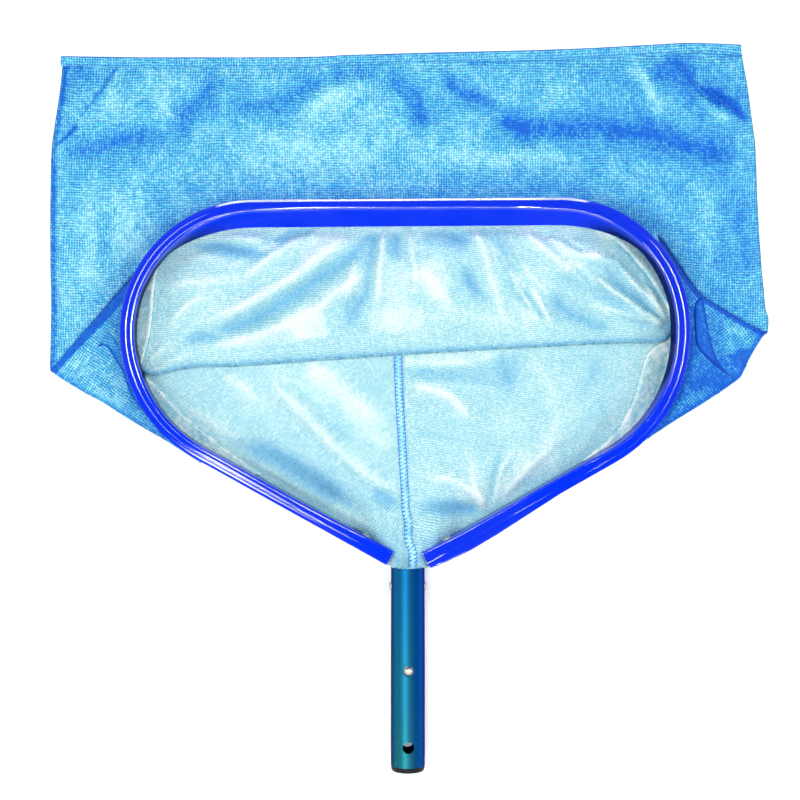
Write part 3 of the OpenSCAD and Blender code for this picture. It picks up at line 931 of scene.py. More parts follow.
# -------------------------------------------------------------- bag outline
HEM = P((61, 56), (110, 57), (154, 57.4), (304, 57), (348, 55), (420, 53), (500, 51), (574, 49),
        (649, 45), (693, 43), (741, 45))
LEFT = P((61.5, 56), (62, 67), (58.6, 97), (53.6, 130), (51, 154), (50, 200), (50, 260), (50.7, 311),
         (49.7, 362), (50.2, 371))
LOW_LEFT = P((50.2, 371), (58, 377), (81, 391), (103, 403), (120, 414), (143, 428), (164, 440), (200, 463))
RIGHT = P((741.5, 45), (742.5, 56), (748, 87), (752, 117), (756, 149), (758, 204), (761.5, 260), (764.5, 293),
          (766, 308), (769, 319), (768, 333))
LOW_RIGHT = P((768, 333), (762, 339), (751, 357), (744, 372), (737, 381), (703, 404), (678.5, 419), (642, 443),
              (617, 460))
FOLD = P((141, 371), (156, 375), (191, 368), (245, 366), (299, 362), (350, 358.5), (400, 355), (482, 350),
         (563, 345.5), (620, 343), (661, 342), (668, 336), (673.5, 325))
DIAG_LEFT = P((50.2, 371), (72, 345), (101, 312), (130, 279), (140, 268))
DIAG_RIGHT = P((768, 333), (745, 322), (724, 309), (700, 293), (680, 266), (667, 247), (657, 234))

B_Z, F_Z, EDGE_Z = -15.75, -14.55, -15.15
FOLD_Z = -11.6
STEP = 2.4


def curve(pts, per=6):
    return catmull(pts, per)


hem_c = resample(curve(HEM), STEP)
left_c = resample(curve(LEFT), STEP)
low_left_c = resample(curve(LOW_LEFT), STEP)
right_c = resample(curve(RIGHT), STEP)
low_right_c = resample(curve(LOW_RIGHT), STEP)
fold_c = resample(curve(FOLD), STEP * 0.8)
diag_left_c = resample(curve(DIAG_LEFT), STEP)
diag_right_c = resample(curve(DIAG_RIGHT), STEP)


def inset_path(n0, frm, to, side):
    """Points along the hoop at n0 mm inward, from one length to another measured from the front's middle."""
    h = half_path()
    h = h[(h[:, 4] >= min(frm, to)) & (h[:, 4] <= max(frm, to))]
    p = np.column_stack([(h[:, 0] + h[:, 2] * n0) * side, h[:, 1] + h[:, 3] * n0])
    p[:, 0], p[:, 1] = shifted(p[:, 0], p[:, 1])
    return p if to > frm else p[::-1]


S_ARM = CXA + RC * math.pi / 2 + RS * (math.pi / 2 - ARM)
S_END = S_ARM + ARM_LEN


def roll(d, w, h):
    """Quarter round: 0 at the edge, h once w mm away."""
    k = 1 - np.clip(d / w, 0, 1)
    return h * np.sqrt(np.clip(1 - k * k, 0, 1))


def fine_crinkle(Q, seed, amp=0.16):
    return amp * (fbm(Q, 11, 7, seed, 3, 0.6) + 0.6 * fbm(Q, 5, 16, seed + 4, 2, 0.6))


# ------------------------------------------------------------- back layer
def painted_patches(Q, items, z=-14.0):
    """Soft patches of painted light (positive amount) and painted shade (negative amount): x, y, half width, half
    height, turn in degrees, amount.
    """
    t = np.zeros(len(Q))
    for px, py, rx, ry, deg, a in items:
        c = np.array(at(px, py, z))
        k = 0.835
        dx, dy = (Q[:, 0] - c[0]) / k, (Q[:, 1] - c[1]) / k
        ca, sa = math.cos(math.radians(deg)), math.sin(math.radians(deg))
        u, v = (dx * ca + dy * sa) / rx, (-dx * sa + dy * ca) / ry
        t += a * np.exp(-(u * u + v * v))
    return t


def painted_bands(Q, items, warp=1.5):
    """Soft stripes of painted light (positive amount) and painted shade (negative amount): points, amount, half width
    mm.
    """
    W = Q + warp * np.column_stack([fbm(Q, 35, 35, 13, 2), fbm(Q, 35, 35, 23, 2)])
    t = np.zeros(len(Q))
    for pts, a, w in items:
        d, s = line_dist(W, catmull(pts))
        t += a * np.exp(-(d / w) ** 2) * smooth(s / 0.12) * smooth((1 - s) / 0.12)
    return t


def facets(Q, items, warp=1.2):
    """Painted shade on flat parts between the folds that lie turned away from the light, painted light where the amount
    is positive: outline, amount, softness mm.
    """
    W = Q + warp * np.column_stack([fbm(Q, 30, 30, 33, 2), fbm(Q, 30, 30, 43, 2)])
    t = np.zeros(len(Q))
    for pts, a, w in items:
        C = np.vstack([pts, pts[:1]])
        d = np.abs(line_dist(W, C)[0]) * np.where(inside(W, pts), 1.0, -1.0)
        t += a * smooth(0.5 + d / (2 * w))
    return t


def ridged(Q, sx, sy, seed, turn=0.0):
    """Sharp little crests, 0 to 1."""
    return 1.0 - np.minimum(1.0, 2.2 * np.abs(fbm(Q, sx, sy, seed, 2, 0.5, turn)))


BACK_FOLDS = [
    # long soft ridges on the left of the seam
    (P((262, 372), (312, 423), (343, 452), (373, 478), (402, 494)), 3.6, 7.0, "ridge", 0.2, 0.1),
    (P((305, 362), (340, 384), (366, 407), (392, 428)), 3.2, 8.0, "ridge", 0.15, 0.3),
    (P((222, 369), (246, 390), (272, 410)), 2.2, 6.0, "ridge", 0.2, 0.4),
    (P((238, 436), (295, 464), (330, 490), (366, 520)), -3.0, 9.0, "ridge", 0.25, 0.2),
    (P((205, 440), (262, 468), (310, 494), (350, 520), (385, 540)), 2.6, 4.5, "ridge", 0.2, 0.15),
    (P((178, 400), (214, 424), (262, 446)), 1.8, 7.0, "ridge", 0.3, 0.4),
    (P((280, 372), (330, 420), (362, 446)), -1.6, 4.5, "ridge", 0.3, 0.3),
    (P((372, 488), (390, 500), (400, 508)), -2.2, 7.0, "ridge", 0.3, 0.3),
    (P((330, 372), (350, 392), (362, 404)), -1.5, 5.0, "ridge", 0.3, 0.3),
    # right of the seam: one curved ridge, creases that meet on the right arm
    (P((408, 385), (430, 389), (450, 397), (463, 409), (476, 425)), 3.2, 5.0, "ridge", 0.15, 0.25),
    (P((489, 514), (478, 492), (471, 472), (470, 452)), 2.6, 3.0, "ridge", 0.05, 0.4),
    (P((492, 512), (497, 486), (506, 462), (520, 440)), 3.0, 3.0, "ridge", 0.05, 0.4),
    (P((490, 510), (494, 480), (500, 455), (510, 430)), -2.4, 3.6, "ridge", 0.1, 0.4),
    (P((495, 509), (520, 476), (545, 450), (566, 428)), 3.0, 5.0, "ridge", 0.08, 0.4),
    (P((494, 512), (520, 494), (556, 470)), -2.0, 5.0, "ridge", 0.1, 0.4),
    (P((486, 508), (466, 488), (440, 478), (412, 476)), 3.0, 5.0, "ridge", 0.08, 0.4),
    (P((484, 512), (462, 508), (436, 505), (414, 512)), -3.0, 6.0, "ridge", 0.15, 0.3),
    (P((412, 376), (440, 374), (474, 373)), -1.6, 4.0, "step", 0.15, 0.3, 8.0),
    (P((500, 352), (508, 378), (514, 402)), -1.8, 7.0, "ridge", 0.2, 0.4),
    (P((410, 430), (440, 436), (470, 440)), -1.6, 7.0, "ridge", 0.2, 0.4),
    (P((548, 480), (576, 455), (596, 424), (606, 390)), 2.2, 9.0, "ridge", 0.2, 0.4),
    (P((600, 352), (590, 380), (572, 405)), -1.6, 9.0, "ridge", 0.2, 0.4),
    (P((530, 352), (548, 386), (560, 420)), 1.4, 8.0, "ridge", 0.2, 0.4),
]
# stripes of painted light and shade along the back layer's folds
BACK_PAINTED_BANDS = [
    (P((300, 366), (345, 400), (395, 452)), 0.45, 9.0), (P((268, 362), (310, 395), (340, 430)), 0.25, 6.0),
    (P((226, 438), (290, 466), (345, 500)), -0.45, 8.0), (P((415, 388), (445, 395), (466, 418)), 0.4, 5.0),
    (P((585, 445), (596, 425), (604, 400)), -0.3, 7.0), (P((540, 450), (552, 432), (558, 415)), 0.3, 4.0),
    (P((430, 512), (455, 508), (480, 512)), -0.4, 5.0), (P((505, 500), (540, 470), (565, 445)), 0.2, 6.0),
]
BACK_FACETS = [
    (P((403, 368), (440, 371), (496, 362), (522, 352), (518, 378), (500, 388), (462, 382), (430, 380), (404, 378)), -0.34, 2.0),
    (P((404, 356), (500, 350), (496, 359), (440, 367), (404, 366)), 0.42, 1.6),
    (P((250, 446), (290, 458), (336, 486), (352, 506), (330, 506), (290, 482), (252, 462)), -0.3, 4.0),
    (P((372, 486), (392, 498), (401, 512), (388, 510), (374, 500)), -0.3, 2.5),
    (P((412, 504), (436, 498), (462, 501), (484, 512), (460, 516), (430, 516)), -0.28, 2.5),
    (P((292, 362), (324, 362), (352, 394), (384, 430), (376, 440), (340, 412), (308, 384)), -0.08, 4.0),
    (P((478, 512), (470, 488), (462, 470), (474, 462), (486, 488), (490, 506)), 0.22, 2.0),
    (P((496, 508), (506, 476), (522, 448), (534, 452), (516, 482)), 0.22, 2.0),
    (P((590, 452), (604, 420), (606, 392), (590, 400), (578, 430), (560, 452), (566, 466)), -0.22, 4.0),
]
# soft patches of painted light and shade on the back layer
BACK_PAINTED_PATCHES = [
    (445, 363, 40, 4, 0, 0.5), (440, 378, 34, 5, 0, -0.5), (509, 384, 12, 18, 0, -0.35), (381, 500, 12, 9, 0, -0.45),
    (447, 507, 16, 8, 0, -0.45), (300, 470, 60, 9, -27, -0.25), (340, 400, 60, 8, -45, 0.3), (245, 392, 26, 7, -42, 0.25),
    (560, 420, 30, 16, 30, 0.2), (600, 375, 16, 20, 0, -0.2), (462, 497, 12, 5, -20, 0.4), (350, 512, 22, 5, -30, 0.3),
    (215, 395, 18, 10, -40, -0.15), (405, 372, 8, 5, 0, 0.2), (530, 460, 20, 8, 40, 0.2), (500, 420, 14, 20, -20, 0.15),
]
SEAM = P((398, 352), (398.5, 380), (400, 410), (401.5, 432), (403, 460), (405, 493), (406.5, 515), (409, 539),
         (411, 552), (413.5, 566.5), z=-13.0)


def z_back(Q):
    n, t = hoop_n(Q)
    z = np.full(len(Q), B_Z)
    f, tone = field(Q, BACK_FOLDS)
    d_seam, _ = line_dist(Q, curve(SEAM))
    inner = smooth((n - 11.0) / 16.0)
    # where the mouth shows it the layer lies loose, above the floor
    loose = inner * smooth((392.0 - Q[:, 1]) / 60.0)
    rel = 1.9 + f + 0.9 * fbm(Q, 60, 42, 11, 3, 0.5, 0.6) + 0.7 * ridged(Q, 42, 16, 15, 0.75) * (Q[:, 0] < 0) \
        + 0.7 * ridged(Q, 42, 16, 19, -0.75) * (Q[:, 0] >= 0) + fine_crinkle(Q, 21)
    rel = np.maximum(rel, -0.1 + 0.12 * rel)
    z = z + loose * rel
    # it climbs to the bar along both arms and rear corners
    y = Q[:, 1]
    side = np.abs(Q[:, 0])
    arm = smooth((335.0 - y) / 50.0)
    z = z + arm * 4.6 * (1 - smooth((n - 8.0) / 20.0)) * (n > 2)
    # tongue over the bar where its ends turn down into the tube
    up = smooth((226.0 - y) / 52.0) * (1 - smooth((side - 16.0 - 0.25 * np.maximum(y - 176.0, 0)) / 26.0))
    dip = 2.2 * np.exp(-((y - 170.0) / 9.0) ** 2) * np.exp(-((Q[:, 0] - 0.5) / 6.0) ** 2)
    z = z * (1 - up) + up * (6.6 - dip + 0.5 * fbm(Q, 9, 14, 91, 2))
    z = z - 4.0 * np.clip((np.abs(Q[:, 0]) - 12.0) / 5.0, 0, 1) ** 2 * (y < 172.0)
    z = z + 0.5 * np.exp(-(d_seam / 4.0) ** 2) * loose
    d_side = np.minimum(np.abs(line_dist(Q, left_c)[0]), np.abs(line_dist(Q, right_c)[0]))
    d_low = np.minimum(np.abs(line_dist(Q, low_left_c)[0]), np.abs(line_dist(Q, low_right_c)[0]))
    e = np.minimum(d_side, d_low)
    z = np.where(n < 0, EDGE_Z - roll(e, 1.6, EDGE_Z - B_Z), z)
    # painted light and shade from the folds, patches, bands and facets; painted shade along the arms, beside the lip's
    # inner edge and where the tongue bends over the bar
    tone = tone * loose * 0.6 - 0.02 + painted_patches(Q, BACK_PAINTED_PATCHES) * 0.7 + painted_bands(Q, BACK_PAINTED_BANDS) + facets(Q, BACK_FACETS)
    tone = tone - 0.12 * arm * np.exp(-np.maximum(n - 11.0, 0) / 9.0)
    tone = tone - 0.55 * np.exp(-np.maximum(n - 11.0, 0) / 3.5) * (n > 8) - 0.35 * up * np.exp(-((y - 186) / 9.0) ** 2)
    return z, tone


def trim_start(L, n_stop):
    """The part of L up to where it comes n_stop mm inside the lip's outer edge."""
    n, _ = hoop_n(L)
    k = np.argmax(n > n_stop) if (n > n_stop).any() else len(L)
    return L[:k]


ll = trim_start(low_left_c, 1.0)
lr = trim_start(low_right_c, 1.0)
arm_l = inset_path(8.8, S_ARM - 6, S_END - 46, -1)
arm_l2 = inset_path(11.9, S_END - 40, S_END - 2, -1)
arm_r = inset_path(8.8, S_ARM - 6, S_END - 46, 1)
arm_r2 = inset_path(11.9, S_END - 40, S_END - 2, 1)
throat = np.array([(-12.4, 175.6), (-14.9, 171.2), (-17.6, 166.4), (-16.0, 165.3), (-10.4, 165.2), (-9.9, 163.4), (0, 163.2),
                   (9.9, 163.4), (10.4, 165.2), (16.0, 165.3), (17.6, 166.4), (14.9, 171.2), (12.4, 175.6)])
back_b = np.vstack([
    hem_c[::-1][:-1], left_c[:-1], resample(ll, STEP)[:-1],
    resample(np.vstack([ll[-1:], arm_l]), STEP)[:-1],
    resample(np.vstack([arm_l[-1:], arm_l2, throat, arm_r2[::-1], arm_r[-1:]]), 1.2)[:-1],
    resample(np.vstack([arm_r[::-1], lr[-1:]]), STEP)[:-1],
    resample(lr, STEP)[::-1][:-1], right_c[::-1][:-1],
])


def drop_close(b, tol=0.25):
    out = [b[0]]
    for p in b[1:]:
        if np.hypot(*(p - out[-1])) > tol:
            out.append(p)
    if np.hypot(*(out[0] - out[-1])) < tol:
        out.pop()
    return np.array(out)


def turned_uv(v, a, cx, cy, z=None):
    """Weave coordinates turned by a radians; the threads follow the folds a little."""
    c, s = math.cos(a), math.sin(a)
    x, y = v[:, 0] - cx, v[:, 1] - cy
    if z is not None:
        x, y = x + 0.18 * z, y + 0.45 * z
    return np.column_stack([x * c + y * s, -x * s + y * c]) * MM + 3.0


def flat_piece(boundary, zfun, up, m, step=None, turn=0.0, at_xy=(0.0, 0.0)):
    v2, f = cdt(drop_close(boundary), step or STEP)
    z, tone = zfun(v2)
    a = turn(v2) if callable(turn) else turn
    if np.ndim(a):
        q = np.zeros((len(v2), 2))
        for val in np.unique(a):
            k = a == val
            q[k] = turned_uv(v2[k], float(val), *at_xy, z[k] - B_Z)
    else:
        q = turned_uv(v2, a, *at_xy, z - B_Z)
    return {"v": np.column_stack([v2, z]), "f": f, "uv": q, "tone": tone, "up": up, "m": m}


back = flat_piece(back_b, z_back, False, 0, turn=lambda v: np.where(v[:, 0] < -3.0, 0.62, -0.18))

# ---------------------------------------------------------------- gussets
GUS_L = [
    (P((104, 324), (111, 334), (121, 346)), 1.2, 1.4, "cliff", 0.1, 0.2, 6.0),
    (P((64, 366), (82, 360), (96, 352)), 1.4, 8.0, "ridge", 0.3, 0.3),
    (P((80, 384), (116, 398), (138, 412)), 1.4, 9.0, "ridge", 0.3, 0.3),
    (P((92, 372), (104, 384), (120, 400)), -0.9, 5.0, "ridge", 0.3, 0.3),
]
GUS_R = [
    (P((716, 326), (738, 332), (758, 336)), 1.8, 8.0, "ridge", 0.3, 0.2),
    (P((719, 356), (736, 351), (755, 340)), 1.6, 2.0, "cliff", 0.2, 0.1, 8.0),
    (P((660, 420), (690, 398), (712, 386)), 1.2, 9.0, "ridge", 0.3, 0.3),
    (P((676, 376), (690, 384), (706, 392)), -1.0, 5.0, "ridge", 0.3, 0.3),
]


def gusset_z(folds, diag, low, seed, band_w, items, side_tone):
    def fun(Q):
        n, _ = hoop_n(Q)
        sd, td = line_dist(Q, diag)
        d_diag = np.abs(sd)
        d_low = np.abs(line_dist(Q, low)[0])
        f, tone = field(Q, folds, warp=1.0)
        free = smooth((-n - 0.5) / 8.0) * smooth((d_diag - 2.0) / 10.0) * smooth(d_low / 9.0)
        rel = 1.2 + f + 0.5 * fbm(Q, 30, 30, seed, 2) + fine_crinkle(Q, seed + 3, 0.12)
        z = F_Z - 0.2 + free * np.maximum(rel, 0)
        z = np.where(n < 2, EDGE_Z + roll(d_low, 1.8, 1.0) * (z - EDGE_Z), z)
        z = z - 0.5 * np.exp(-(d_diag / 5.0) ** 2) * smooth(d_low / 6.0)
        z = np.maximum(z, z_back_low(Q) + 0.28 * smooth(d_low / 1.5))
        # a dark band along the slanting fold, partly for the doubled cloth there and partly painted shade under the
        # fold; painted shade along the low edge and beside the lip; folds and patches add painted light and shade
        w = band_w[0] + (band_w[1] - band_w[0]) * td
        band = 1 - smooth((d_diag - w) / 1.6)
        tone = tone * free * 0.6 + side_tone - 1.25 * band - 0.7 * np.exp(-(d_low / 3.2) ** 2)
        tone = tone - 0.55 * np.exp(-np.abs(n) / 4.0) + painted_patches(Q, items)
        return z, tone
    return fun


def z_back_low(Q):
    """Height of the back layer outside the hoop."""
    d_side = np.minimum(np.abs(line_dist(Q, left_c)[0]), np.abs(line_dist(Q, right_c)[0]))
    d_low = np.minimum(np.abs(line_dist(Q, low_left_c)[0]), np.abs(line_dist(Q, low_right_c)[0]))
    return EDGE_Z - roll(np.minimum(d_side, d_low), 1.6, EDGE_Z - B_Z)


GSTEP = 1.25
tuck_l = inset_path(7.0, CXA + RC * 1.15, S_ARM + 14, -1)
tuck_r = inset_path(7.0, CXA + RC * 1.05, S_ARM + 14, 1)
gusset_l_b = np.vstack([
    resample(ll, GSTEP)[:-1],
    resample(np.vstack([ll[-1:], tuck_l[::-1], diag_left_c[-4:-3] + (2.0, 0.0)]), GSTEP)[:-1],
    resample(np.vstack([diag_left_c[-4:-3] + (2.0, 0.0), np.array(P((127, 276), (98, 309), (70, 341), (50.2, 371)))]), GSTEP)[:-1],
])
gusset_fun_l = gusset_z(GUS_L, diag_left_c, low_left_c, 71, (4.0, 9.5),
                        [(112, 322, 12, 9, 40, -0.45), (85, 372, 24, 9, -20, 0.25), (118, 384, 10, 14, -30, 0.2),
                         (132, 405, 10, 8, -40, -0.2), (100, 398, 20, 7, -28, 0.15)], 0.0)
gusset_l = flat_piece(gusset_l_b, gusset_fun_l, True, 1, step=GSTEP, turn=math.radians(-33), at_xy=(-250, 340))
gusset_r_b = np.vstack([
    resample(lr, GSTEP)[:-1],
    resample(np.vstack([lr[-1:], tuck_r[::-1], P((650, 231))]), GSTEP)[:-1],
    resample(np.vstack([P((650, 231)), np.array(P((655, 225), (662, 228), (671, 240), (685, 260), (705, 288), (728, 304), (748, 317), (768, 333)))]),
             GSTEP)[:-1],
])
gusset_fun_r = gusset_z(GUS_R, diag_right_c, low_right_c, 81, (3.0, 3.2),
                        [(738, 322, 16, 9, -25, 0.35), (728, 342, 10, 8, -20, 0.2), (744, 360, 9, 12, 30, -0.55),
                         (690, 345, 8, 22, 0, -0.35), (700, 385, 22, 8, 35, -0.25), (668, 418, 22, 10, 33, -0.05),
                         (722, 384, 10, 6, 30, -0.35), (680, 320, 10, 40, 0, -0.3), (670, 400, 18, 12, 30, -0.15),
                         (720, 372, 26, 14, 35, -0.3), (736, 330, 12, 6, 25, 0.3), (712, 308, 5, 8, 0, 0.4)], -0.64)
gusset_r = flat_piece(gusset_r_b, gusset_fun_r, True, 1, step=GSTEP, turn=math.radians(38), at_xy=(270, 340))


def flap(boundary, free, base, lift, w, tone_fun, m, step, turn=0.0, at_xy=(0, 0), fade=None, up=True, rough=0.12,
         start=None):
    """A doubled part of the cloth that lies on base, with a rounded free edge; it rises from nothing at start."""
    fl = np.array(free)

    def fun(Q):
        z0, _ = base(Q)
        d = np.abs(line_dist(Q, fl)[0])
        k = roll(d, w, 1.0)
        far = np.exp(-(np.maximum(d - w, 0) / fade) ** 2) if fade else 1.0
        if start is not None:
            k = k * smooth(np.hypot(Q[:, 0] - start[0], Q[:, 1] - start[1]) / start[2])
        z = z0 + 0.15 + (lift * (0.25 + 0.75 * far)) * k + rough * (fbm(Q, 9, 13, 77, 3) + ridged(Q, 16, 7, 79, 0.5)) * k
        t = tone_fun(Q, d)
        if start is not None:
            w0 = smooth(np.hypot(Q[:, 0] - start[0], Q[:, 1] - start[1]) / start[2])
            t = t * w0 + (base(Q)[1] if w0.min() < 1 else 0.0) * (1 - w0)
        return z, t
    return flat_piece(boundary, fun, up, m, step, turn, at_xy)


# lens of several layers on the right gusset, and the turned corner on the left one
lens_l = curve(P((701.5, 297), (696.5, 301), (694.2, 310), (694.6, 330), (697.5, 347), (706.7, 358), (720, 369.5), (733, 377.5)))
lens_r = curve(P((703, 297.5), (705, 310), (708, 328), (712.5, 347), (718.5, 362), (726, 371.5), (736, 378)))
lens_b = np.vstack([resample(lens_l, GSTEP)[:-1], resample(np.vstack([lens_l[-1:], lens_r[-1:]]), GSTEP)[:-1],
                    resample(lens_r, GSTEP)[::-1][:-1]])
lens_edge = np.vstack([lens_l, lens_r[::-1], lens_l[:1]])


def lens_tone(Q, d):
    # the lens is dark for its several layers, darker towards its lower end; painted shade along its free edge
    low = smooth((at(700, 345)[1] - Q[:, 1]) / 18.0)
    return -1.10 - 0.40 * low - 1.0 * np.exp(-(d / 1.7) ** 2)


lens = flap(lens_b, lens_edge, gusset_fun_r, 0.7, 1.0, lens_tone, 1, GSTEP, math.radians(20), (270, 340))
turn_c = curve(P((98, 347), (104, 345.8), (110, 350.7), (115.7, 360), (123, 373), (127.5, 386), (131.4, 395.7), (141, 409),
                 (150, 420.5), (163, 437)))
tl_in = inset_path(6.0, CXA + RC * 1.50, S_ARM + 10, -1)
turn_b = np.vstack([resample(turn_c, GSTEP)[:-1],
                    resample(np.vstack([turn_c[-1:], tl_in[::-1], P((119, 345)), P((108, 331)), turn_c[:1]]), GSTEP)[:-1]])


def turn_tone(Q, d):
    n, _ = hoop_n(Q)
    # the turned corner is darker for the doubled cloth; painted shade along its edge and beside the lip
    return -0.35 - 1.5 * np.exp(-(d / 1.6) ** 2) - 0.6 * np.exp(-np.abs(n) / 6.0)


turned = flap(turn_b, turn_c, gusset_fun_l, 0.9, 1.1, turn_tone, 1, GSTEP, math.radians(-12), (-250, 340))

# ------------------------------------------------------------ front layer
FRONT_FOLDS = [
    (P((222, 70), (206, 90), (185, 115), (174, 145), (168, 172)), -3.6, 8.0, "ridge", 0.15, 0.35),
    (P((226, 104), (255, 106), (290, 98), (322, 80), (384, 68)), -2.8, 8.0, "ridge", 0.2, 0.1),
    (P((60, 150), (91, 149), (121, 141), (146, 134), (176, 140)), -2.8, 8.0, "ridge", 0.2, 0.25),
    (P((152, 92), (163, 106), (176, 122)), 2.4, 5.0, "ridge", 0.2, 0.3),
    (P((300, 118), (335, 96), (372, 84)), 2.8, 11.0, "ridge", 0.25, 0.3),
    (P((330, 128), (350, 112), (372, 88)), -1.8, 3.5, "ridge", 0.25, 0.3),
    (P((386, 68), (396, 84), (404, 104)), -2.6, 6.0, "ridge", 0.1, 0.35),
    (P((412, 84), (420, 106), (424, 132)), -2.4, 7.0, "ridge", 0.2, 0.35),
    (P((440, 66), (455, 90), (478, 96), (512, 122), (538, 142), (556, 152)), -3.0, 8.0, "ridge", 0.15, 0.25),
    (P((500, 64), (520, 72), (548, 68)), -1.6, 6.0, "ridge", 0.2, 0.3),
    (P((482, 110), (505, 123), (530, 129), (560, 127), (590, 126), (620, 131), (650, 134), (680, 144), (702, 151), (738, 160)),
     -3.8, 8.0, "ridge", 0.1, 0.12),
    (P((625, 56), (648, 87), (660, 112), (690, 136)), 3.6, 9.0, "ridge", 0.1, 0.25),
    (P((681, 60), (686, 74), (693, 86), (710, 97), (730, 104), (742, 114), (752, 126)), -4.4, 3.8, "ridge", 0.2, 0.0),
    (P((690, 78), (706, 88), (732, 96), (748, 110)), 2.8, 5.0, "ridge", 0.2, 0.1),
    (P((690, 98), (712, 110), (736, 128)), 2.6, 6.0, "ridge", 0.2, 0.25),
    (P((540, 118), (552, 104), (566, 82)), 2.4, 8.0, "ridge", 0.2, 0.3),
    (P((478, 130), (488, 116), (498, 104)), 1.6, 5.0, "ridge", 0.3, 0.3),
    (P((536, 150), (546, 134), (562, 112)), 2.0, 4.0, "ridge", 0.2, 0.3),
    (P((420, 154), (470, 154), (540, 156), (600, 162)), 2.0, 8.0, "ridge", 0.2, 0.3),
    (P((230, 150), (290, 142), (350, 150), (400, 160)), 1.8, 14.0, "ridge", 0.3, 0.3),
    (P((66, 78), (92, 80), (118, 76)), -2.0, 6.0, "ridge", 0.1, 0.3),
    (P((92, 190), (88, 250), (80, 310)), 1.8, 12.0, "ridge", 0.3, 0.3),
    (P((112, 200), (104, 240), (96, 280)), -1.6, 8.0, "ridge", 0.3, 0.3),
    (P((700, 176), (708, 220), (716, 262)), 1.8, 12.0, "ridge", 0.3, 0.3),
    (P((742, 190), (744, 240), (746, 290)), -1.4, 10.0, "ridge", 0.3, 0.3),
    (P((118, 66), (96, 98), (59, 144)), -1.6, 2.4, "sharp", 0.05, 0.05),
    (P((142, 168), (160, 196), (170, 214)), -1.4, 10.0, "ridge", 0.3, 0.3),
    (P((640, 176), (660, 200), (672, 226)), 1.5, 10.0, "ridge", 0.3, 0.3),
]
# soft patches of painted light and shade on the front layer
FRONT_PAINTED_PATCHES = [
    (660, 76, 26, 17, 25, -0.32),
    (72, 73, 24, 12, 0, -0.45), (62, 95, 10, 18, 0, -0.3), (245, 109, 46, 12, 0, -0.35), (190, 188, 22, 9, 0, -0.25),
    (90, 176, 26, 9, 0, -0.15), (735, 230, 16, 60, 0, -0.25), (602, 80, 14, 14, 0, -0.15), (510, 180, 90, 9, 0, -0.22),
    (112, 100, 18, 20, 0, 0.35), (165, 92, 13, 16, 0, 0.35), (330, 101, 30, 13, 15, 0.35), (312, 160, 60, 24, 0, 0.30),
    (250, 150, 18, 16, 0, 0.15), (500, 161, 70, 7, 0, 0.22), (722, 119, 12, 8, 0, 0.35), (134, 235, 20, 42, 15, 0.35),
    (92, 250, 14, 50, 0, 0.2), (556, 92, 16, 14, 0, 0.2), (548, 150, 14, 8, 0, 0.2), (372, 114, 16, 10, 0, 0.2),
    (702, 215, 14, 26, 0, 0.18), (640, 172, 40, 10, 20, 0.12), (470, 95, 12, 12, 0, -0.2), (430, 110, 16, 20, 0, -0.2),
    (520, 132, 40, 10, 0, -0.15), (575, 180, 24, 8, 0, -0.1), (420, 90, 8, 20, 0, 0.0), (400, 140, 20, 14, 0, 0.1),
]
# stripes of painted light and shade along the front's folds; the last one is a painted shadow under the hem
FRONT_PAINTED_BANDS = [
    (P((58, 153), (100, 150), (140, 142), (168, 148)), -0.42, 12.0), (P((224, 72), (209, 93), (193, 114), (176, 142)), -0.30, 10.5),
    (P((256, 112), (300, 96), (332, 75), (388, 65)), -0.36, 10.0), (P((388, 66), (400, 85), (415, 105), (426, 132)), -0.34, 11.0),
    (P((440, 66), (456, 84), (472, 100), (492, 118)), -0.40, 10.0),
    (P((484, 116), (520, 128), (560, 130), (600, 125), (640, 131), (680, 144), (706, 152), (738, 160)), -0.55, 17.0),
    (P((655, 56), (680, 72), (696, 88), (712, 98), (730, 104), (752, 124)), -0.62, 12.5),
    (P((634, 66), (648, 92), (664, 120)), 0.4, 7.0),
    (P((118, 66), (106, 84), (94, 99)), -0.9, 1.3), (P((78, 124), (66, 136), (55, 146)), -1.1, 1.6),
    (P((700, 88), (716, 98), (732, 106), (752, 124)), -0.8, 3.0), (P((459, 62), (500, 60), (560, 57.5), (607, 56)), -0.8, 1.6),
]


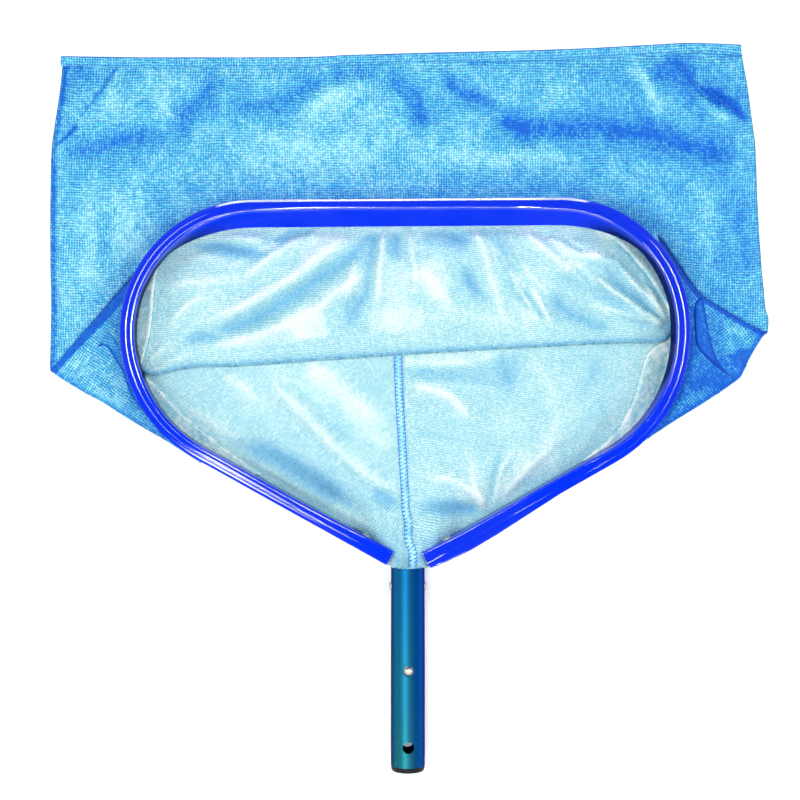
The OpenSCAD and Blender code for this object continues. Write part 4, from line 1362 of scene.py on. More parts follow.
def z_front(Q):
    n, _ = hoop_n(Q)
    d_side = np.minimum(np.abs(line_dist(Q, left_c)[0]), np.abs(line_dist(Q, right_c)[0]))
    d_hem = np.abs(line_dist(Q, hem_c)[0])
    d_diag = np.minimum(np.abs(line_dist(Q, diag_left_c)[0]), np.abs(line_dist(Q, diag_right_c)[0]))
    d_fold = np.abs(line_dist(Q, fold_c)[0])
    f, tone = field(Q, FRONT_FOLDS)
    free = smooth((-n - 1.0) / 16.0) * smooth(d_side / 14.0) * smooth((d_hem - 7.0) / 14.0) * smooth(d_diag / 16.0)
    rel = 3.2 + f + 1.3 * fbm(Q, 70, 48, 31, 3, 0.5, 0.4) + 0.5 * ridged(Q, 60, 34, 37, 0.5) + fine_crinkle(Q, 41)
    rel = np.maximum(rel, 0.1 * rel)
    z = F_Z + free * rel
    # folded edges: side folds meet the back layer, the slanting folds roll under
    lift = 0.9 * np.exp(-(d_diag / 9.0) ** 2) * (n < 6) * smooth(d_side / 8.0)
    z = z + lift
    z = np.where(n < 6, z - (1 - roll(d_diag, 1.6, 1.0)) * 1.0, z)
    z = np.where(n < 4, EDGE_Z + roll(d_side, 2.0, 1.0) * (np.maximum(z, -14.75) - EDGE_Z), z)
    # inside the hoop it runs under the slack to the fold
    z = np.where(n > 12, FOLD_Z - roll(d_fold, 4.0, FOLD_Z - F_Z), z)
    # painted shade beside the lip's outer edge; a darker band along both folded sides, wider on the left; folds,
    # patches and bands add painted light and shade; the cloth is darker towards the right
    left = Q[:, 0] < 0
    bw = np.where(left, 3.9, 1.0)
    band = 1 - smooth((d_side - bw) / 1.8)
    tone = tone * free * 0.32 - np.where(left, 0.95, 0.45) * band * (n < 0)
    tone = tone - 0.35 * np.exp(-np.abs(n) / 4.0) * (n < 2) + painted_patches(Q, FRONT_PAINTED_PATCHES) + painted_bands(Q, FRONT_PAINTED_BANDS, 3.0)
    tone = tone - 0.16 * smooth((Q[:, 0] - 60.0) / 130.0) + 0.28 * ridged(Q, 26, 40, 45, 0.3) - 0.08
    return z, tone


dl = diag_left_c[hoop_n(diag_left_c)[0] < 4.0]
dr = diag_right_c[hoop_n(diag_right_c)[0] < 4.0]
front_b = np.vstack([
    hem_c[::-1][:-1], left_c[:-1], dl[:-1],
    resample(np.vstack([dl[-1:], P((147, 300), (146, 340)), fold_c[:1]]), STEP)[:-1],
    fold_c[:-1],
    resample(np.vstack([fold_c[-1:], P((671, 300)), dr[-1:]]), STEP)[:-1],
    dr[::-1][:-1], right_c[::-1][:-1],
])
front = flat_piece(front_b, z_front, True, 0)

# ---------------------------------------------------------- slack inside
DZ = -9.0
DROOP_FOLDS = [
    # long diagonal fold on the left, with light ridges on both its sides
    (P((378, 226), (352, 254), (325, 275), (270, 309), (230, 328), (188, 340), z=DZ), -4.4, 6.5, "ridge", 0.08, 0.25),
    (P((352, 232), (318, 258), (282, 284), (240, 306), (196, 326), z=DZ), 4.0, 6.5, "ridge", 0.15, 0.3),
    (P((374, 262), (340, 292), (300, 318), (256, 336), (200, 350), z=DZ), 4.2, 7.0, "ridge", 0.15, 0.3),
    (P((186, 244), (212, 246), (240, 250), (274, 256), z=DZ), -3.8, 5.5, "ridge", 0.15, 0.3),
    (P((190, 232), (230, 236), (268, 240), z=DZ), 2.4, 5.0, "ridge", 0.2, 0.3),
    (P((272, 244), (290, 232), (314, 226), z=DZ), -2.8, 6.0, "ridge", 0.2, 0.2),
    (P((236, 286), (262, 262), (292, 244), (330, 228), z=DZ), 2.8, 5.0, "ridge", 0.25, 0.2),
    (P((166, 296), (180, 284), (210, 280), (250, 276), z=DZ), 2.0, 7.0, "ridge", 0.3, 0.3),
    (P((166, 330), (176, 316), (196, 300), (226, 290), z=DZ), 2.0, 4.0, "ridge", 0.2, 0.4),
    # fan from the middle of the front
    (P((378, 226), (368, 262), (366, 292), (350, 320), z=DZ), -3.2, 5.5, "ridge", 0.1, 0.3),
    (P((384, 226), (380, 262), (378, 296), (374, 324), z=DZ), 2.8, 4.0, "ridge", 0.1, 0.35),
    (P((356, 250), (350, 284), (344, 306), z=DZ), 2.0, 5.0, "ridge", 0.3, 0.35),
    (P((395, 230), (398, 246), (402, 262), z=DZ), -2.6, 5.0, "ridge", 0.2, 0.35),
    (P((408, 226), (411, 246), (414, 268), (414, 300), z=DZ), 2.2, 3.0, "ridge", 0.1, 0.4),
    (P((412, 262), (428, 280), (446, 304), (462, 320), z=DZ), 2.6, 9.0, "ridge", 0.25, 0.4),
    (P((446, 230), (458, 240), (468, 252), z=DZ), -2.4, 6.0, "ridge", 0.25, 0.4),
    (P((464, 268), (472, 284), (482, 300), z=DZ), -2.2, 4.5, "ridge", 0.25, 0.4),
    (P((470, 228), (484, 252), (492, 280), (500, 310), (504, 328), z=DZ), 2.8, 4.5, "ridge", 0.12, 0.35),
    (P((507, 226), (513, 246), (526, 267), (545, 290), (560, 304), z=DZ), 2.4, 1.8, "sharp", 0.04, 0.3),
    (P((500, 236), (508, 256), (520, 276), z=DZ), -1.8, 3.6, "ridge", 0.2, 0.3),
    (P((506, 262), (516, 284), (530, 306), (542, 326), z=DZ), 3.4, 4.0, "ridge", 0.2, 0.3),
    (P((518, 280), (532, 304), (546, 326), z=DZ), -2.0, 2.6, "ridge", 0.2, 0.3),
    (P((528, 282), (541, 304), (554, 327), z=DZ), 2.8, 3.4, "ridge", 0.2, 0.3),
    (P((520, 226), (540, 244), (560, 262), (584, 282), (600, 296), z=DZ), 2.8, 5.0, "ridge", 0.08, 0.4),
    (P((534, 226), (556, 238), (580, 246), (600, 256), z=DZ), -1.6, 4.0, "ridge", 0.1, 0.3),
    (P((546, 286), (562, 306), (590, 322), (622, 328), z=DZ), -3.0, 8.0, "ridge", 0.2, 0.3),
    (P((545, 232), (574, 252), (601, 258), (630, 268), z=DZ), 3.0, 4.0, "ridge", 0.15, 0.4),
    # folds that run together on the right
    (P((598, 260), (616, 276), (634, 294), (650, 310), (666, 323), z=DZ), -3.6, 4.5, "ridge", 0.2, 0.1),
    (P((586, 272), (612, 291), (636, 309), (664, 325), z=DZ), 3.4, 3.6, "ridge", 0.25, 0.08),
    (P((584, 300), (612, 311), (640, 319), (666, 327), z=DZ), 2.6, 4.0, "ridge", 0.3, 0.08),
    (P((600, 306), (624, 318), (652, 325), z=DZ), -1.8, 3.0, "ridge", 0.3, 0.1),
    (P((616, 262), (634, 284), (652, 302), (670, 322), z=DZ), 3.0, 3.4, "ridge", 0.2, 0.08),
    (P((606, 243), (622, 256), (640, 276), (654, 296), z=DZ), -3.0, 4.0, "ridge", 0.3, 0.2),
    (P((560, 262), (590, 268), (612, 276), z=DZ), 1.6, 4.0, "ridge", 0.3, 0.3),
    (P((566, 236), (590, 250), (618, 276), (645, 303), (668, 322), z=DZ), 2.4, 1.6, "sharp", 0.1, 0.03),
    (P((640, 270), (650, 292), (660, 310), (670, 323), z=DZ), 2.4, 1.4, "sharp", 0.1, 0.03),
    (P((574, 262), (600, 282), (634, 305), (666, 324), z=DZ), 2.0, 1.4, "sharp", 0.2, 0.03),
    (P((142, 372), (152, 370), (170, 361), (196, 350), z=DZ), 1.8, 2.6, "ridge", 0.08, 0.4),
    (P((142, 368), (158, 352), (170, 340), z=DZ), 1.6, 2.4, "ridge", 0.08, 0.4),
]
# soft patches of painted light and shade on the slack inside the mouth
DROOP_PAINTED_PATCHES = [
    (305, 322, 20, 10, 22, 0.7), (352, 314, 9, 15, 15, -0.6), (226, 248, 32, 6, -6, -0.55), (292, 230, 16, 5, 8, -0.5),
    (426, 276, 17, 24, 0, 0.35), (458, 238, 14, 8, 0, -0.5), (462, 290, 7, 13, -20, -0.35), (560, 304, 24, 16, -40, -0.35),
    (630, 304, 26, 12, -35, -0.4), (248, 316, 22, 7, 22, -0.35), (200, 340, 16, 5, 5, -0.5), (318, 266, 24, 8, 42, -0.3),
    (535, 250, 14, 8, -40, -0.2), (610, 262, 22, 8, -25, -0.2), (386, 300, 7, 34, 0, 0.3), (660, 262, 6, 26, -25, 0.2),
    (600, 290, 34, 10, -38, -0.25), (330, 245, 22, 9, 35, 0.3), (400, 300, 12, 30, 0, 0.3), (415, 335, 30, 8, 0, 0.2),
    (210, 300, 30, 8, 20, 0.2), (190, 335, 16, 6, 10, -0.4), (250, 262, 22, 6, 15, 0.2), (490, 320, 20, 10, 0, 0.25),
    (640, 300, 14, 8, -45, -0.2), (560, 240, 20, 6, -20, 0.2), (395, 240, 6, 12, 0, -0.3), (440, 235, 14, 6, 0, -0.3),
    (590, 235, 16, 5, 0, -0.2), (175, 260, 8, 20, 0, -0.1), (520, 300, 30, 20, -50, 0.1),
]


DROOP_FACETS = [
    (P((185, 242), (230, 241), (270, 254), (250, 264), (205, 251), z=DZ), -0.32, 2.0),
    (P((330, 262), (295, 283), (230, 316), (214, 330), (232, 332), (262, 328), (286, 314), (330, 284), (352, 262), (356, 246), z=DZ),
     -0.20, 2.2),
    (P((185, 336), (202, 330), (221, 339), (212, 346), (192, 344), z=DZ), -0.36, 1.6),
    (P((272, 240), (290, 229), (320, 226), (307, 238), (282, 249), z=DZ), -0.4, 1.8),
    (P((427, 230), (472, 230), (476, 240), (446, 250), (422, 242), z=DZ), -0.35, 2.4),
    (P((460, 262), (475, 267), (480, 285), (487, 302), (472, 302), (462, 280), z=DZ), -0.32, 2.0),
    (P((500, 270), (508, 265), (518, 285), (532, 298), (546, 320), (527, 309), (507, 295), z=DZ), -0.32, 2.0),
    (P((552, 278), (600, 300), (640, 326), (665, 331), (668, 322), (640, 290), (622, 262), (606, 252), (590, 262), z=DZ),
     -0.30, 4.0),
    (P((344, 300), (356, 292), (364, 300), (360, 322), (346, 326), z=DZ), -0.3, 2.2),
    (P((282, 318), (306, 306), (322, 312), (330, 336), (296, 338), z=DZ), 0.45, 2.6),
    (P((388, 262), (408, 262), (410, 300), (400, 332), (384, 328), z=DZ), 0.18, 3.0),
    (P((383, 234), (404, 232), (399, 246), (392, 263), (388, 252), z=DZ), -0.30, 1.7),
    (P((478, 228), (505, 228), (513, 240), (522, 263), (505, 254), (490, 242), z=DZ), -0.28, 2.0),
    (P((418, 262), (440, 256), (452, 280), (446, 296), (430, 300), z=DZ), 0.26, 3.0),
    (P((368, 312), (420, 306), (424, 328), (372, 334), z=DZ), 0.28, 3.0),
    (P((298, 246), (330, 232), (344, 236), (326, 256), (300, 266), z=DZ), 0.22, 2.4),
]


# stripes of painted light and shade on the slack; the first is a painted shadow under the rolled edge
DROOP_PAINTED_BANDS = [
    (P((612, 241), (626, 251.5), (636.5, 263), (648, 278), (657, 293), (664, 306), z=DZ), -1.5, 1.3),
    (P((604, 246), (620, 256), (634, 270), (646, 286), (656, 302), z=DZ), 0.45, 2.4),
    (P((590, 232), (612, 238), (634, 256), (652, 280), (664, 302), (672, 322), z=DZ), 0.5, 3.0),
    (P((190, 345), (260, 341), (330, 334), z=DZ), 0.35, 4.0), (P((395, 322), (470, 316), (545, 322), z=DZ), 0.22, 8.0),
    (P((165, 352), (200, 320), (222, 300), z=DZ), 0.25, 3.0), (P((148, 360), (170, 340), (190, 300), z=DZ), 0.2, 2.5),
    (P((232, 268), (262, 250), (300, 236), z=DZ), 0.4, 2.5), (P((166, 262), (200, 256), (236, 268), z=DZ), 0.3, 2.5),
    (P((520, 226), (545, 238), (575, 262), (600, 290), z=DZ), 0.4, 2.2), (P((500, 232), (512, 262), (528, 296), z=DZ), 0.3, 1.8),
    (P((486, 236), (500, 268), (515, 300), (528, 326), z=DZ), 0.25, 1.8), (P((560, 232), (600, 262), (640, 300), z=DZ), 0.3, 2.0),
]


def z_droop(Q):
    n, t = hoop_n(Q)
    fc = curve(FOLD)
    d_fold = np.abs(line_dist(Q, fc)[0])
    f, tone = field(Q, DROOP_FOLDS)
    front_part = smooth((Q[:, 1] - 408.0) / 40.0)
    reach = 11.5 + 10.0 * front_part
    z_edge = -11.6 - 1.4 * front_part
    z_mid = -9.0
    k = smooth((n - reach) / 42.0)
    body = z_edge + (z_mid - z_edge) * k
    env = smooth((n - reach + 1.0) / 12.0)
    side = smooth((d_fold - 2.0) / 20.0)
    rel = f + 1.0 * fbm(Q, 60, 40, 51, 3, 0.5, -0.5) + 0.8 * ridged(Q, 46, 16, 57, -0.55) + fine_crinkle(Q, 61)
    z = body + env * (0.35 + 0.65 * side) * rel
    z = np.maximum(z, -13.4 + 0.15 * (z + 13.4))
    w = 10.0
    kk = 1 - np.clip(d_fold / w, 0, 1)
    down = 1 - np.sqrt(np.clip(1 - kk * kk, 0, 1))
    z = z - (z - FOLD_Z) * down
    # under the lip's edges it always passes below them
    cap = np.where(n < reach + 0.8, np.minimum(z, z_edge), z)
    # painted shade growing towards the fold edge and darkest along it; folds, patches, facets and bands add painted
    # light and shade; beside the lip, painted light along the front and painted shade at the sides
    tone = tone * env * 0.74 - 0.80 * kk ** 2.0 - 1.05 * np.exp(-(d_fold / 2.5) ** 2) + painted_patches(Q, DROOP_PAINTED_PATCHES, DZ) * 0.45 + 1.35 * facets(Q, DROOP_FACETS) + painted_bands(Q, DROOP_PAINTED_BANDS, 0.8)
    tone = tone + (0.42 * front_part - 0.25) * np.exp(-np.maximum(n - reach, 0) / (3.5 + 4.5 * front_part))
    return cap, tone


S_L = CXA + RC * math.pi / 2
in_l = inset_path(9.2, 0, S_L + 52, -1)
in_r = inset_path(9.2, 0, S_L + 40, 1)
in_l = in_l[in_l[:, 1] > fold_c[0][1] + 3]
in_r = in_r[in_r[:, 1] > fold_c[-1][1] + 1]
ring = resample(np.vstack([fold_c[-1:], in_r[::-1], in_l[1:], fold_c[:1]]), STEP)
droop_b = np.vstack([fold_c[:-1], ring[:-1]])
DSTEP = 1.9
droop = flat_piece(droop_b, z_droop, False, 0, step=DSTEP, turn=0.10)


def mouth_tone(base, edge, w):
    def fun(Q, d):
        # painted highlight along the rounded free edge and painted shade right at the edge, over a random tone
        return (base + 0.55 * fbm(Q, 9, 24, 95, 3, 0.6) + 0.35 * (ridged(Q, 16, 7, 79, 0.5) - 0.4)
                + edge * np.exp(-((d - 1.3) / w) ** 2) - 0.7 * np.exp(-(d / 0.7) ** 2))
    return fun


# upright pleat on the left, rolled edge on the right, doubled cloth along both rear corners
pleat_e = curve(P((163, 234), (160, 255), (157, 275), (154.5, 295), (153, 315), (151.5, 330), (148, 345), (144, 360), (139, 373), z=DZ))
pl_in = inset_path(9.2, CXA + RC * 0.75, S_L + 52, -1)
pl_in = pl_in[(pl_in[:, 1] < pleat_e[0][1]) & (pl_in[:, 1] > pleat_e[-1][1])]
pleat_b = np.vstack([resample(pleat_e, 1.3)[:-1], resample(np.vstack([pleat_e[-1:], pl_in[::-1], pleat_e[:1]]), 1.3)[:-1]])
pleat = flap(pleat_b, pleat_e, z_droop, 2.6, 1.6, mouth_tone(0.15, 0.7, 1.4), 2, 1.5, 1.25, (-200, 300), fade=4.0, rough=0.7)
roll_e = curve(P((585, 231), (600, 233.5), (614, 241), (626.7, 252), (635.6, 262.5), (648, 278), (657, 292), (666, 308),
                 (674, 326), z=DZ))
rl_in = inset_path(9.2, CXA + 6, S_L + 40, 1)
rl_in = rl_in[(rl_in[:, 0] > roll_e[0][0]) & (rl_in[:, 1] > roll_e[-1][1])]
roll_b = np.vstack([resample(roll_e, 1.3)[:-1], resample(np.vstack([roll_e[-1:], rl_in[::-1], roll_e[:1]]), 1.3)[:-1]])
rolled = flap(roll_b, roll_e, z_droop, 3.4, 2.6, mouth_tone(0.08, 0.6, 1.8), 2, 1.5, 0.9, (200, 300), fade=6.0, rough=0.4,
              start=(roll_e[0][0], roll_e[0][1], 34.0))


def z_back_up(Q):
    return z_back(Q)


dr_e = curve(P((669, 336), (656, 345), (647, 353), (642, 365), (637.5, 381), (630, 405), (615, 430), (597, 447), (575, 466),
               (561, 474), z=-13.0))
dr_in = inset_path(9.2, S_L, S_ARM + 60, 1)
dr_in = dr_in[(dr_in[:, 1] < dr_e[0][1]) & (dr_in[:, 1] > dr_e[-1][1])]
dr_b = np.vstack([resample(dr_e, 1.3)[:-1], resample(np.vstack([dr_e[-1:], dr_in[::-1], dr_e[:1]]), 1.3)[:-1]])


def doubled_r_tone(Q, d):
    f, t = field(Q, [(P((637, 378), (645, 390), (654, 403)), 1.6, 1.4, "sharp", 0.2, 0.2),
                     (P((629, 405), (634, 412), (640, 421)), -1.6, 1.6, "sharp", 0.2, 0.2),
                     (P((645, 366), (651, 380), (660, 390)), -1.6, 1.6, "sharp", 0.2, 0.2),
                     (P((675, 340), (664, 386), (650, 406), (623, 436), (571, 469)), 2.0, 2.0, "ridge", 0.1, 0.1)])
    # painted highlight just inside the free edge and painted shade right at it; the listed folds add painted light and
    # shade over a random tone
    return (0.05 + 0.65 * fbm(Q, 10, 16, 97, 3, 0.6) + 0.5 * (ridged(Q, 20, 8, 98, 0.7) - 0.35) + 0.75 * np.exp(-((d - 2.0) / 1.2) ** 2)
            - 0.5 * np.exp(-(d / 0.8) ** 2) + 0.6 * t)


doubled_r = flap(dr_b, dr_e, z_back_up, 1.8, 1.8, doubled_r_tone, 2, 1.5, 0.75, (200, 300), fade=14.0, rough=0.7)
dl_e = curve(P((140, 371), (150, 379), (166, 395), (186, 416), (206, 432), (230, 450), (262, 474), z=-13.0))
dl_in = inset_path(9.2, S_L + 20, S_ARM + 70, -1)
dl_in = dl_in[(dl_in[:, 1] < dl_e[0][1]) & (dl_in[:, 1] > dl_e[-1][1])]
dl_b = np.vstack([resample(dl_e, 1.3)[:-1], resample(np.vstack([dl_e[-1:], dl_in[::-1], dl_e[:1]]), 1.3)[:-1]])


def doubled_l_tone(Q, d):
    f, t = field(Q, [(P((150, 384), (168, 408), (190, 428)), -1.4, 2.4, "ridge", 0.2, 0.2),
                     (P((166, 406), (180, 421), (196, 433)), 1.6, 1.4, "sharp", 0.2, 0.2),
                     (P((184, 424), (196, 430), (200, 438)), 1.6, 1.4, "sharp", 0.2, 0.2)])
    # painted highlight just inside the free edge and painted shade right at it; the listed folds add painted light and
    # shade over a random tone
    return (0.05 + 0.6 * fbm(Q, 10, 16, 99, 3, 0.6) + 0.45 * (ridged(Q, 20, 8, 96, -0.6) - 0.4)
            + 0.6 * np.exp(-((d - 1.8) / 1.1) ** 2) - 0.45 * np.exp(-(d / 0.8) ** 2) + 0.6 * t)


doubled_l = flap(dl_b, dl_e, z_back_up, 1.5, 1.6, doubled_l_tone, 2, 1.5, -0.6, (-200, 300), fade=14.0, rough=0.6)

bag = build("mesh_bag", [back, front, droop, gusset_l, gusset_r, lens, turned, pleat, rolled, doubled_r, doubled_l],
            [mesh_blue, mesh_blue, mesh_pale, mesh_pale])
weld(bag)
sol = bag.modifiers.new("solid", "SOLIDIFY")
sol.thickness = 0.0004
sol.offset = -1.0
sol.material_offset = 2
sol.material_offset_rim = 0
sol.use_quality_normals = True
apply_modifiers(bag)
print("bag faces", len(bag.data.polygons))
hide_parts("net_back_left", "net_back_right", "net_front_layer", "net_inner_fold",
            "net_gusset_left", "net_gusset_right")
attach(bag, BODY)

# ------------------------------------------------------------- hem, seam
def ribbon(name, centre, width, zf, mats, thick=1.0, puff=0.0, across=6, tone=0.0, edge_tone=0.0):
    """Closed flat band along a line. zf gives the height of its middle."""
    L = np.array(centre, float)
    T = np.gradient(L, axis=0)
    T /= np.maximum(np.hypot(T[:, 0], T[:, 1]), 1e-9)[:, None]
    Nn = np.column_stack([-T[:, 1], T[:, 0]])
    wv = width(np.linspace(0, 1, len(L))) if callable(width) else np.full(len(L), width)
    z = zf(L)
    rings = []
    for i in range(len(L)):
        ring_pts = []
        for k in range(across + 1):
            u = -1 + 2 * k / across
            h = thick / 2 * math.sqrt(max(0.0, 1 - abs(u) ** 4)) + puff * math.cos(u * math.pi / 2)
            ring_pts.append((*(L[i] + Nn[i] * u * wv[i] / 2), z[i] + h))
        for k in range(across + 1):
            u = 1 - 2 * k / across
            h = thick / 2 * math.sqrt(max(0.0, 1 - abs(u) ** 4))
            ring_pts.append((*(L[i] + Nn[i] * u * wv[i] / 2), z[i] - h - 0.02))
        rings.append(ring_pts)
    o = sweep(name, rings, mats, sharp=60.0)
    a = o.data.attributes.new("tone", "FLOAT", "POINT")
    v = np.full((len(L), 2 * (across + 1)), tone, np.float32)
    v[:, across - 1:across + 3] += edge_tone
    a.data.foreach_set("value", v.ravel() if v.size == len(o.data.vertices) else
                       np.full(len(o.data.vertices), tone, np.float32))
    return o


hem_line = resample(curve(HEM), 3.0)
hn = np.gradient(hem_line, axis=0)
hn /= np.hypot(hn[:, 0], hn[:, 1])[:, None]
hn = np.column_stack([hn[:, 1], -hn[:, 0]])
hem_mid = hem_line + hn * 4.2
hem_wave = 0.5 * fbm(hem_mid, 60, 60, 5, 2)
hem_w = 9.0 + 0.6 * fbm(hem_mid, 80, 80, 6, 2)
hem = ribbon("hem_band", hem_mid, lambda t: np.interp(t, np.linspace(0, 1, len(hem_w)), hem_w),
             lambda L: -14.25 + 0.35 * fbm(L, 50, 50, 8, 2), [mesh_blue], thick=2.6, puff=0.35, across=12, tone=0.0, edge_tone=-1.1)
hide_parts("bottom_hem")
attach(hem, BODY)


def stitches(name, places, mats, length=4.2, r=0.42):
    """Small humped stitches: each place is (x, y, z, angle, length factor)."""
    bm = bmesh.new()
    for x, y, z, a, k in places:
        c, s = math.cos(a), math.sin(a)
        L = length * k
        prev = None
        nseg, nr = 6, 6
        first = None
        for i in range(nseg + 1):
            t = i / nseg
            px = (t - 0.5) * L
            hz = r * 1.5 * math.sin(math.pi * t) - r * 0.7
            rr = r * (0.55 + 0.45 * math.sin(math.pi * t))
            ring_v = []
            for j in range(nr):
                b = 2 * math.pi * j / nr
                oy, oz = rr * math.cos(b), rr * math.sin(b) * 0.8
                ring_v.append(bm.verts.new(((x + px * c - oy * s) * MM, (y + px * s + oy * c) * MM, (z + hz + oz) * MM)))
            if prev:
                for j in range(nr):
                    bm.faces.new((prev[j], ring_v[j], ring_v[(j + 1) % nr], prev[(j + 1) % nr]))
            else:
                first = ring_v
            prev = ring_v
        bm.faces.new(list(reversed(first)) if False else first)
        bm.faces.new(list(reversed(prev)))
    bmesh.ops.recalc_face_normals(bm, faces=bm.faces)
    me = bpy.data.meshes.new(name)
    bm.to_mesh(me)
    bm.free()
    me.polygons.foreach_set("use_smooth", np.ones(len(me.polygons), bool))
    o = bpy.data.objects.new(name, me)
    bpy.context.scene.collection.objects.link(o)
    for m in mats:
        me.materials.append(m)
    return o


rng = np.random.default_rng(7)
hs = resample(hem_line + hn * 7.2, 6.9)
ang = np.arctan2(*np.gradient(hs, axis=0).T[::-1])
hem_rows = [(p[0], p[1], -12.75, a + rng.normal(0, 0.03), 1.0 + rng.normal(0, 0.05)) for p, a in zip(hs[1:-1], ang[1:-1])]
# bar tacks at both ends
for ends in (P((65, 66.6), (81, 66.8)), P((729, 55.6), (741, 55.6))):
    hem_rows += [(p[0], p[1], -13.1, rng.normal(0, 0.12), 0.8 + rng.normal(0, 0.06)) for p in resample(ends, 2.6)]
hem_st = stitches("hem_stitches", hem_rows, [thread_deep], 4.4, 0.42)
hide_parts("hem_stitching")
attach(hem_st, BODY)

rows = []
for pts in (P((117, 68), (96, 98), (70, 131), (59, 144), (54, 141)), P((679, 62), (690, 80), (712, 94), (744, 120))):
    c = resample(curve(pts), 6.2)
    a = np.arctan2(*np.gradient(c, axis=0).T[::-1])
    zz = z_front(c)[0]
    rows += [(p[0], p[1], z + 0.45, b + rng.normal(0, 0.05), 1.0 + rng.normal(0, 0.06)) for p, z, b in zip(c[:-1], zz, a)]
corner_st = stitches("corner_stitches", rows, [thread_deep], 4.6, 0.46)
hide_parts("corner_stitching")
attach(corner_st, BODY)

seam_line = resample(curve(SEAM), 2.0)
wav = 0.9 * smooth((236 - seam_line[:, 1]) / 40.0)
seam_line[:, 0] += wav * 0.9 * np.sin(seam_line[:, 1] / 3.9)
sz = z_back(seam_line)[0]
sz = np.convolve(np.pad(sz, 3, mode="edge"), np.ones(7) / 7, mode="valid")
seam = ribbon("seam_tape", seam_line, 6.6, lambda L: sz + 0.55, [tape_pale], thick=0.7, puff=0.35, across=8, tone=0.35)
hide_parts("centre_seam")
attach(seam, BODY)

sl = resample(seam_line, 1.05)
slz = np.interp(sl[:, 1], seam_line[::-1, 1], sz[::-1])
tang = np.gradient(sl, axis=0)
tang /= np.hypot(tang[:, 0], tang[:, 1])[:, None]
nrm = np.column_stack([-tang[:, 1], tang[:, 0]])
loops = []
for i in range(2, len(sl) - 2, 3):
    a = math.atan2(tang[i, 1], tang[i, 0])
    for sgn in (-1, 1):
        p = sl[i] + nrm[i] * sgn * 3.0
        loops.append((p[0], p[1], slz[i] + 0.75, a + rng.normal(0, 0.09), 0.86 + rng.normal(0, 0.05)))
        q = sl[i] + nrm[i] * sgn * 1.7 + tang[i] * 0.7 * sgn
        loops.append((q[0], q[1], slz[i] + 1.1, a + math.pi / 2 + rng.normal(0, 0.16), 0.55 + rng.normal(0, 0.06)))
seam_st = stitches("seam_stitches", loops, [thread_deep], 3.9, 0.44)
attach(seam_st, BODY)

# domed rivet heads on the arms' inner walls
def rivet_heads():
    prof = [(0.0, 1.15), (0.7, 1.12), (1.25, 0.95), (1.6, 0.62), (1.75, 0.35), (2.3, 0.55), (3.0, 0.62), (3.5, 0.45), (3.75, 0.1),
            (3.7, -0.5), (0.0, -0.5)]
    bm = bmesh.new()
    for (px, py), sgn in (((366.5, 536.5), 1.0), ((446.5, 538.5), -1.0)):
        cx, cy = at(px, py, 8.5)
        inward = Vector((0.49 * sgn, 0.87, 0.0))
        axis = (inward * 0.80 + Vector((0.0, 0.0, 0.60))).normalized()
        e1 = Vector((inward.y, -inward.x, 0.0))
        e2 = axis.cross(e1)
        prev = None
        for r, h in prof:
            if r == 0.0:
                row = [bm.verts.new((Vector((cx, cy, 8.5)) + axis * h) * MM)]
            else:
                row = [bm.verts.new((Vector((cx, cy, 8.5)) + axis * h + e1 * r * math.cos(a) + e2 * r * math.sin(a)) * MM)
                       for a in (2 * math.pi * k / 28 for k in range(28))]
            if prev is not None:
                for k in range(28):
                    j = (k + 1) % 28
                    if len(prev) == 1:
                        bm.faces.new((prev[0], row[k], row[j]))
                    elif len(row) == 1:
                        bm.faces.new((prev[j], prev[k], row[0]))
                    else:
                        bm.faces.new((prev[k], row[k], row[j], prev[j]))
            prev = row
    bmesh.ops.recalc_face_normals(bm, faces=bm.faces)
    me = bpy.data.meshes.new("rivet_heads")
    bm.to_mesh(me)
    bm.free()
    me.polygons.foreach_set("use_smooth", np.ones(len(me.polygons), bool))
    o = bpy.data.objects.new("rivet_heads", me)
    bpy.context.scene.collection.objects.link(o)
    me.materials.append(rivet_alu)
    return o


heads = rivet_heads()
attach(heads, BODY)

# binding sleeve: the CAD node keeps its shape and gets a tape finish
def tape_material():
    m = Mat("binding_tape")
    o = m.obj()
    s = m.split(o)
    rib = m.node("ShaderNodeTexWave")
    rib.wave_type = "BANDS"
    rib.bands_direction = "Z"
    m.link(m.scaled(o, (1, 1, 1)), rib.inputs["Vector"])
    rib.inputs["Scale"].default_value = 260.0
    rib.inputs["Distortion"].default_value = 1.2
    fine = m.noise(m.scaled(o, (700, 700, 700)), 1.0, 2.0)
    c = m.mix(rib.outputs[0], (0.10, 0.36, 0.80), (0.36, 0.70, 0.93))
    c = m.mix(m.math("MULTIPLY", fine, 0.5), c, (0.62, 0.86, 0.95))
    m.set(Base_Color=c, Roughness=0.6, Normal=m.bump(rib.outputs[0], 0.4, 0.0004))
    return m.mat


binding = leaned("mouth_binding", "binding", tape_material())
bar = leaned("hoop_bar", "bar", bar_alu)

# ------------------------------------------------------ floor and lighting
def floor():
    bm = bmesh.new()
    bmesh.ops.create_grid(bm, x_segments=8, y_segments=8, size=4.0)
    me = bpy.data.meshes.new("floor")
    bm.to_mesh(me)
    bm.free()
    o = bpy.data.objects.new("floor", me)
    o.location = (0.0, 0.3, -0.01632)
    bpy.context.scene.collection.objects.link(o)
    m = Mat("floor_pale")
    n = m.noise(m.scaled(m.obj(), (3.0, 3.0, 3.0)), 1.0, 3.0)
    m.set(Base_Color=m.mix(n, (0.965, 0.965, 0.965), (0.985, 0.985, 0.985)), Roughness=0.9)
    m.bsdf.inputs["Specular IOR Level"].default_value = 0.1
    m.bsdf.inputs["Emission Color"].default_value = (1.0, 1.0, 1.0, 1.0)
    m.bsdf.inputs["Emission Strength"].default_value = 0.15
    me.materials.append(m.mat)


floor()


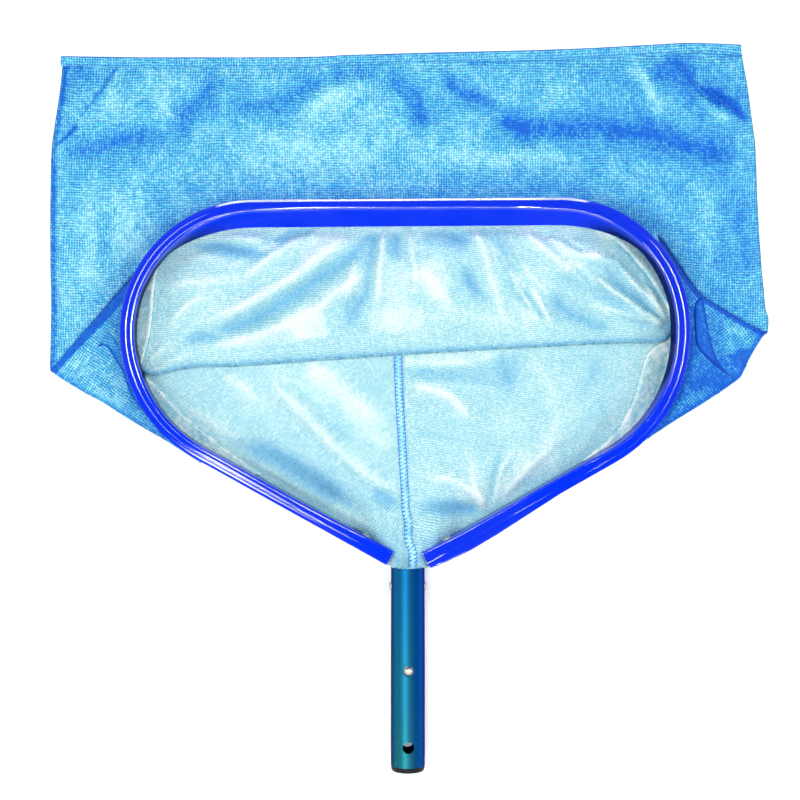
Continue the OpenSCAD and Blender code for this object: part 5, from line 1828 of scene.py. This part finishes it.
def area(name, loc, target, size, power, color=(1, 1, 1), size_y=None):
    d = bpy.data.lights.new(name, "AREA")
    d.shape = "RECTANGLE" if size_y else "SQUARE"
    d.size = size
    if size_y:
        d.size_y = size_y
    d.energy = power
    d.color = color
    o = bpy.data.objects.new(name, d)
    o.location = loc
    o.rotation_mode = "QUATERNION"
    o.rotation_quaternion = (Vector(target) - Vector(loc)).to_track_quat("-Z", "Y")
    bpy.context.scene.collection.objects.link(o)
    return o


matte = bpy.data.collections.new("matte")
for o in bpy.context.scene.objects:
    if o.type == "MESH" and not o.hide_render and o.name not in ("lip", "handle_tube"):
        matte.objects.link(o)
for lamp in (area("key_left", (-0.34, 0.37, 1.42), (-0.1, 0.33, 0.0), 0.07, 4.2, size_y=0.22),
             area("key_right", (0.86, 0.60, 1.35), (0.1, 0.33, 0.0), 0.03, 5.5, size_y=0.8),
             area("west", (-1.60, 0.35, 1.10), (0.0, 0.33, 0.0), 0.4, 13.0, size_y=1.2),
             area("east", (1.60, 0.35, 1.10), (0.0, 0.33, 0.0), 0.4, 13.0, size_y=1.2)):
    lamp.light_linking.receiver_collection = matte
area("north", (0.0, 1.75, 1.25), (0.0, 0.4, 0.0), 1.2, 10.5, size_y=0.3)
area("south", (0.15, -1.15, 1.15), (0.0, 0.35, 0.0), 1.2, 10.5, size_y=0.5)
area("handle", (-0.47, -0.14, 1.25), (0.0, 0.1, 0.0), 0.26, 3.9, size_y=0.40)

# narrow strips that only trace the rounded edges and beads of the lip
shiny = bpy.data.collections.new("shiny")
shiny.objects.link(lip)


def slanted(name, a, b, z, width, power):
    """Strip lamp that hangs level from a to b and shines down."""
    d = Vector((b[0] - a[0], b[1] - a[1], 0.0))
    o = area(name, ((a[0] + b[0]) / 2, (a[1] + b[1]) / 2, z), (0.0, 0.3, 0.0), d.length, power, size_y=width)
    turn = math.atan2(d.y, d.x)
    o.rotation_quaternion = (math.cos(turn / 2), 0.0, 0.0, math.sin(turn / 2))
    return o


for strip in (area("strip_front", (0.05, 2.1, 1.2), (0.0, 0.47, 0.0), 0.65, 6.0, size_y=0.05),
              area("strip_rear", (0.05, -0.55, 1.3), (0.0, 0.47, 0.0), 0.60, 7.0, size_y=0.03),
              area("halo_right", (0.24, 0.41, 1.35), (0.24, 0.36, 0.0), 0.04, 0.28),
              area("halo_left", (-0.155, 0.41, 1.35), (-0.155, 0.36, 0.0), 0.10, 0.40),
              slanted("arm_right", (0.137, 0.394), (-0.062, 0.275), 1.35, 0.018, 0.40),
              slanted("arm_left", (-0.166, 0.461), (0.038, 0.338), 1.35, 0.034, 0.75)):
    strip.light_linking.receiver_collection = shiny

world = bpy.data.worlds.new("world")
bpy.context.scene.world = world
world.use_nodes = True
wt = world.node_tree
wt.nodes.clear()
wo = wt.nodes.new("ShaderNodeOutputWorld")
bg = wt.nodes.new("ShaderNodeBackground")
tc = wt.nodes.new("ShaderNodeTexCoord")
sp = wt.nodes.new("ShaderNodeSeparateXYZ")
ramp = wt.nodes.new("ShaderNodeMapRange")
wt.links.new(tc.outputs["Generated"], sp.inputs[0])
wt.links.new(sp.outputs[2], ramp.inputs[0])
ramp.inputs[1].default_value = 0.0
ramp.inputs[2].default_value = 1.0
ramp.inputs[3].default_value = 0.62
ramp.inputs[4].default_value = 0.07
wt.links.new(ramp.outputs[0], bg.inputs["Strength"])
bg.inputs["Color"].default_value = (0.97, 0.98, 1.0, 1.0)
wt.links.new(bg.outputs[0], wo.inputs["Surface"])

scene = bpy.context.scene
scene.view_settings.view_transform = "Standard"
scene.view_settings.look = "None"
scene.view_settings.exposure = 0.0
